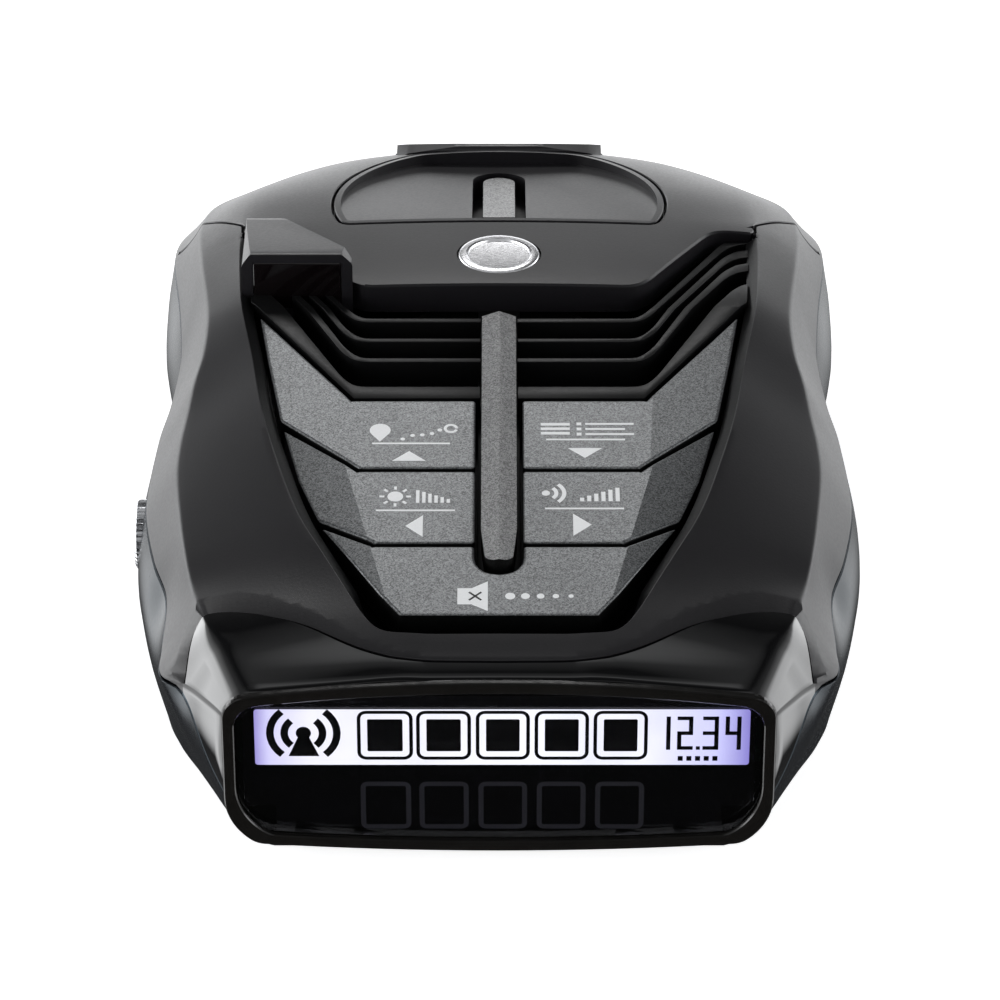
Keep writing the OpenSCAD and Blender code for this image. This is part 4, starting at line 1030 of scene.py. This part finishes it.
# Mute: a loudspeaker with a cross, and a falling row of dots
cone = [(-4.1, 3.1), (-2.7, 3.1), (-1.1, 2.1), (-1.1, 6.6), (-2.7, 5.55), (-4.1, 5.55)]
cross = []
for turn in (45, -45):
    c, s = math.cos(math.radians(turn)), math.sin(math.radians(turn))
    cross.append([(-2.35 + c * a - s * b, 4.33 + s * a + c * b)
                  for a, b in ((-0.85, -0.1), (0.85, -0.1), (0.85, 0.1), (-0.85, 0.1))])
mute_shapes = [cone] + [circle(1.1 + 1.5 * k, 4.35, 0.5 - 0.06 * k, 16) for k in range(5)]
decal("mute_legend", mute_shapes, "mute")
decal("mute_cross", cross, "mute", glyph_black, 0.02)

# ---- display ----------------------------------------------------------------------------

dress("display_rim", bevel=0.3, segments=3)
dress("display_lens", bevel=0.25, segments=3)
dress("display_module", bevel=0.1)
SCREEN_Y = -51.66
RAISE, GLYPH_T, MARKS_DEPTH = 0.5, 0.02, 0.05


def panel_glyphs(name, shapes, depth, mat):
    """Shapes of (x, z) points that stand a hair in front of the lit screen."""
    sides = [lambda x, z, y=y: (x, y, z + RAISE) for y in (SCREEN_Y - depth, SCREEN_Y - depth - GLYPH_T)]
    return finish_piece(piece(name, *plates(shapes, sides)), name, "housing", "screen", mat=mat)


DIGITS = {"0": "abcdef", "1": "bc", "2": "abged", "3": "abgcd", "4": "fgbc", "5": "afgcd"}


def digit(char, x, z, w, h, t):
    """A seven-bar digit whose lower left corner is at x, z."""
    m = h / 2
    bars = {
        "a": (0, h - t, w, h), "g": (0, m - t / 2, w, m + t / 2), "d": (0, 0, w, t),
        "f": (0, m - t / 2, t, h), "b": (w - t, m - t / 2, w, h),
        "e": (0, 0, t, m + t / 2), "c": (w - t, 0, w, m + t / 2),
    }
    return [[(x + p, z + q) for p, q in bar(*bars[k])] for k in DIGITS[char]]


SQUARE_Z = 13.2
SQUARES = [(-13.77, -8.51), (-7.99, -2.83), (-2.17, 2.92), (3.57, 8.68), (9.32, 14.43)]


def screen_shapes():
    """Dark shapes on the lit screen: an aerial with waves, square surrounds and cores, and a reading."""
    shapes = []
    # generic aerial: a mast with two pairs of waves
    cx, cz = -19.1, SQUARE_Z
    shapes += [[(cx - 1.5, 10.75), (cx + 1.5, 10.75), (cx + 0.45, cz), (cx - 0.45, cz)],
               circle(cx, cz + 0.25, 0.75, 20)]
    for r in (1.5, 2.9):
        for start in (-50, 130):
            shapes.append(arc_band(cx, cz + 0.25, r, r + 0.75, start, start + 100))
    for a, b in SQUARES:
        mid, w = (a + b) / 2, b - a
        shapes.append(rounded_rect(w - 1.8, 3.75, 0.15, mid, SQUARE_Z, 3))
    for char, x in (("1", 15.2), ("2", 17.4), ("3", 19.9), ("4", 22.1)):
        shapes += digit(char, x, 11.5, 1.55, 3.9, 0.42)
    shapes.append(bar(19.25, 11.5, 19.65, 11.9))
    shapes += [bar(17.5 + 0.85 * k, 10.2, 18.0 + 0.85 * k, 10.75) for k in range(5)]
    return shapes


def square_rings(grow, height, r, t):
    """Outer and inner outline of a rounded ring round each square."""
    rings = []
    for a, b in SQUARES:
        w, mid = b - a + grow, (a + b) / 2
        rings.append([rounded_rect(w - 2 * inset, height - 2 * inset, r - inset, mid, SQUARE_Z, 5) for inset in (0, t)])
    return rings


def ring_piece(name, rings, mat, lower=0.0):
    verts, faces = [], []
    for outer_line, inner_line in rings:
        n, first = len(outer_line), len(verts)
        for y in (SCREEN_Y - MARKS_DEPTH, SCREEN_Y - MARKS_DEPTH - GLYPH_T):
            verts += [(x, y, z + RAISE - lower) for x, z in outer_line + inner_line]
        for k in range(n):
            a, b = first + k, first + (k + 1) % n
            faces += [(a, b, b + n, a + n), (b + 2 * n, a + 2 * n, a + 3 * n, b + 3 * n),
                      (b, a, a + 2 * n, b + 2 * n), (a + n, b + n, b + 3 * n, a + 3 * n)]
    return finish_piece(piece(name, verts, faces), name, "housing", "screen", mat=mat)


panel_glyphs("screen_light", [rounded_rect(48.4, 6.5, 0.3, 0.3, 12.95, 4)], 0.01, glow)
panel_glyphs("screen_marks", screen_shapes(), MARKS_DEPTH, glyph_black)
ring_piece("screen_squares", square_rings(0.2, 5.75, 0.9, 0.36), glyph_black)
ring_piece("screen_ghost_squares", square_rings(-0.3, 5.6, 0.7, 0.5), ghost_glow, lower=8.3)

# ---- small parts ----------------------------------------------------------------------------

for part, width in (("rear_sensor_window", 0.2), ("front_window", 0.3), ("usb_port", 0.1), ("power_jack", 0.15),
                    ("housing_screws", 0.12), ("label_plate", 0.08), ("volume_shaft", 0.15), ("shield_can", 0.2),
                    ("display_holder", 0.15), ("tact_switches", 0.1), ("volume_control", 0.2)):
    dress(part, bevel=width)
for part in ("rear_laser_sensor", "speaker_cloth", "display_ribbon", "key_board", "speaker_frame",
             "speaker_cone", "speaker_magnet", "main_board", "board_screws", "rf_board", "radar_horn", "laser_lens",
             "laser_sensor"):
    dress(part)

# Release spring: it stands on its seat and shortens with the button's travel
spring_node = frame["nodes"]["release_spring"]
spring = copy_of(spring_node, "spring_coil")
spring.matrix_world = spring_node.matrix_world
spring_slot = slot_of("release_spring")
spring.data.materials.clear()
spring.data.materials.append(MATS[spring_slot])
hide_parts("release_spring")
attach(spring, "housing")
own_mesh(spring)

# Badge: a turned ring with a dished face
badge_profile = [(0, 0), (4.5, 0), (4.5, 0.95), (4.3, 1.2), (4.05, 1.3), (3.6, 1.3), (3.4, 1.2), (3.3, 1.0), (0, 0.85)]


badge_rings = [[(r * math.cos(2 * math.pi * k / 96), BADGE_Y + r * math.sin(2 * math.pi * k / 96), BADGE_Z + h)
                for k in range(96)] for r, h in badge_profile[1:-1]]
ring_badge = lathe("ring_badge", badge_rings, (0, BADGE_Y, BADGE_Z), (0, BADGE_Y, BADGE_Z + badge_profile[-1][1]))
finish_piece(ring_badge, "ring_badge", "housing", "badge_metal", replaces=("badge",), smooth=24)

# Volume knob: a knurled silver drum with a dished face
KNOB_X, KNOB_Y, KNOB_Z, KNOB_T = -38.3, -12, 12, 3.8
KNOB_POINTS, TEETH, TOOTH = 216, 36, 0.16
knob_rows = [(0.0, 2.6, 0.0), (0.02, 2.9, 0.0), (0.0, 3.25, 0.1), (0.25, 3.55, 0.6), (0.55, 3.62, 1.0),
             (3.3, 3.62, 1.0), (3.6, 3.5, 0.5), (KNOB_T, 3.2, 0.0)]
knob_rings = []
for dx, r, knurl in knob_rows:
    angles = [2 * math.pi * k / KNOB_POINTS for k in range(KNOB_POINTS)]
    radii = [r + TOOTH * knurl * max(-0.4, math.cos(a * TEETH)) for a in angles]
    knob_rings.append([(KNOB_X + dx, KNOB_Y + q * math.cos(a), KNOB_Z + q * math.sin(a))
                       for a, q in zip(angles, radii)])
knob = lathe("knob", knob_rings, (KNOB_X + 0.25, KNOB_Y, KNOB_Z), (KNOB_X + KNOB_T, KNOB_Y, KNOB_Z))
finish_piece(knob, "knurled_knob", "volume", "knob_metal", replaces=("volume_knob",), smooth=30)

for tool in (outer, inner, above, opening_tool, hood_tool, cover_tool, hood_groove, back_groove, rim_hole, upper,
             inside, ceiling, pod_room, roof_room, slot, *side_grooves, *cover_paths):
    drop(tool)

# ---- floor and light ----------------------------------------------------------------------------

floor_mat = material("floor", (0.86, 0.86, 0.86), 0.9, vary=0.01, grain=300, depth=0.0, specular=0.1)
feed(floor_mat.node_tree, shader_of(floor_mat), {"Emission Color": (1, 1, 1, 1), "Emission Strength": 0.8})
floor = piece("floor", [(-3000, -3000, 0), (3000, -3000, 0), (3000, 3000, 0), (-3000, 3000, 0)], [(0, 1, 2, 3)])
floor.data.transform(Matrix.Scale(0.001, 4))
floor.location.z = -0.0003
floor.data.materials.append(floor_mat)
floor.visible_glossy = False
floor.visible_transmission = False


# Levels of the sky by the height of a direction, -1 straight down to 1 straight up
SIDE_SKY = [(-1, 0.02), (-0.75, 0.05), (-0.62, 2.6), (-0.42, 2.4), (-0.3, 1.4), (-0.05, 1.4), (0.03, 4.5), (0.24, 4.5),
            (0.38, 1.2), (0.6, 0.25), (1, 0.1)]
BACK_SKY = [(-1, 0.02), (-0.6, 0.04), (-0.5, 0.08), (-0.44, 0.5), (-0.36, 1.5), (0.17, 2.0), (0.3, 0.1), (0.8, 0.03),
            (0.9, 0.25), (0.955, 0.85), (0.985, 0.3), (1, 0.03)]
FRONT_SKY = [(-1, 0.02), (-0.02, 0.02), (0.1, 0.05), (0.22, 0.5), (0.7, 0.5), (0.82, 0.05), (1, 0.03)]
SKY_TINT = (0.49, 0.495, 0.5)


def studio():
    """A soft sky: a pale band low at the back, a dim room above it and in front, and brighter sides."""
    world = bpy.data.worlds.new("studio")
    scene.world = world
    world.use_nodes = True
    tree = world.node_tree
    parts = node(tree, "SeparateXYZ", {"Vector": node(tree, "TexCoord").outputs["Generated"]}).outputs
    height = node(tree, "MapRange", {"Value": parts["Z"], "From Min": -1}).outputs["Result"]
    back, front, aside = [
        colour_ramp(tree, [((z + 1) / 2, [level * c for c in SKY_TINT]) for z, level in stops], height)
        for stops in (BACK_SKY, FRONT_SKY, SIDE_SKY)]
    depth = node(tree, "MapRange", {"Value": parts["Y"], "From Min": -0.3, "From Max": 0.35},
                 interpolation_type="SMOOTHSTEP").outputs["Result"]
    around = node(tree, "Mix", {"Factor": depth, 6: front, 7: back}, data_type="RGBA").outputs[2]
    width = node(tree, "Math", {0: parts["X"]}, operation="ABSOLUTE").outputs[0]
    reach = node(tree, "MapRange", {"Value": width, "From Min": 0.6, "From Max": 0.78},
                 interpolation_type="SMOOTHSTEP").outputs["Result"]
    sky = node(tree, "Mix", {"Factor": reach, 6: around, 7: aside}, data_type="RGBA").outputs[2]
    across = node(tree, "MapRange", {"Value": parts["X"], "From Min": -0.8, "From Max": 0.8,
                                     "To Min": 2.3, "To Max": 1.7}).outputs["Result"]
    background = tree.nodes["Background"]
    feed(tree, background, {"Color": sky, "Strength": across})
    pale = node(tree, "Background", {"Color": (0.95, 0.95, 0.95, 1)})
    seen = node(tree, "MixShader", {"Fac": node(tree, "LightPath").outputs["Is Camera Ray"],
                                    1: background.outputs["Background"], 2: pale.outputs["Background"]})
    tree.links.new(seen.outputs["Shader"], tree.nodes["World Output"].inputs["Surface"])


studio()


def softbox(name, place, target, width, height, radiance):
    """A rectangular lamp of even radiance that reflections and surfaces see, but the camera doesn't see."""
    data = bpy.data.lights.new(name, "AREA")
    data.shape = "RECTANGLE"
    data.size, data.size_y = width, height
    data.energy = radiance * math.pi * width * height
    lamp = bpy.data.objects.new(name, data)
    scene.collection.objects.link(lamp)
    lamp.location = place
    lamp.rotation_euler = (Vector(target) - Vector(place)).to_track_quat("-Z", "Y").to_euler()
    lamp.visible_camera = False


softbox("back", (-0.05, 0.565, 0.575), (0, 0, 0.02), 0.27, 0.17, 8.5)
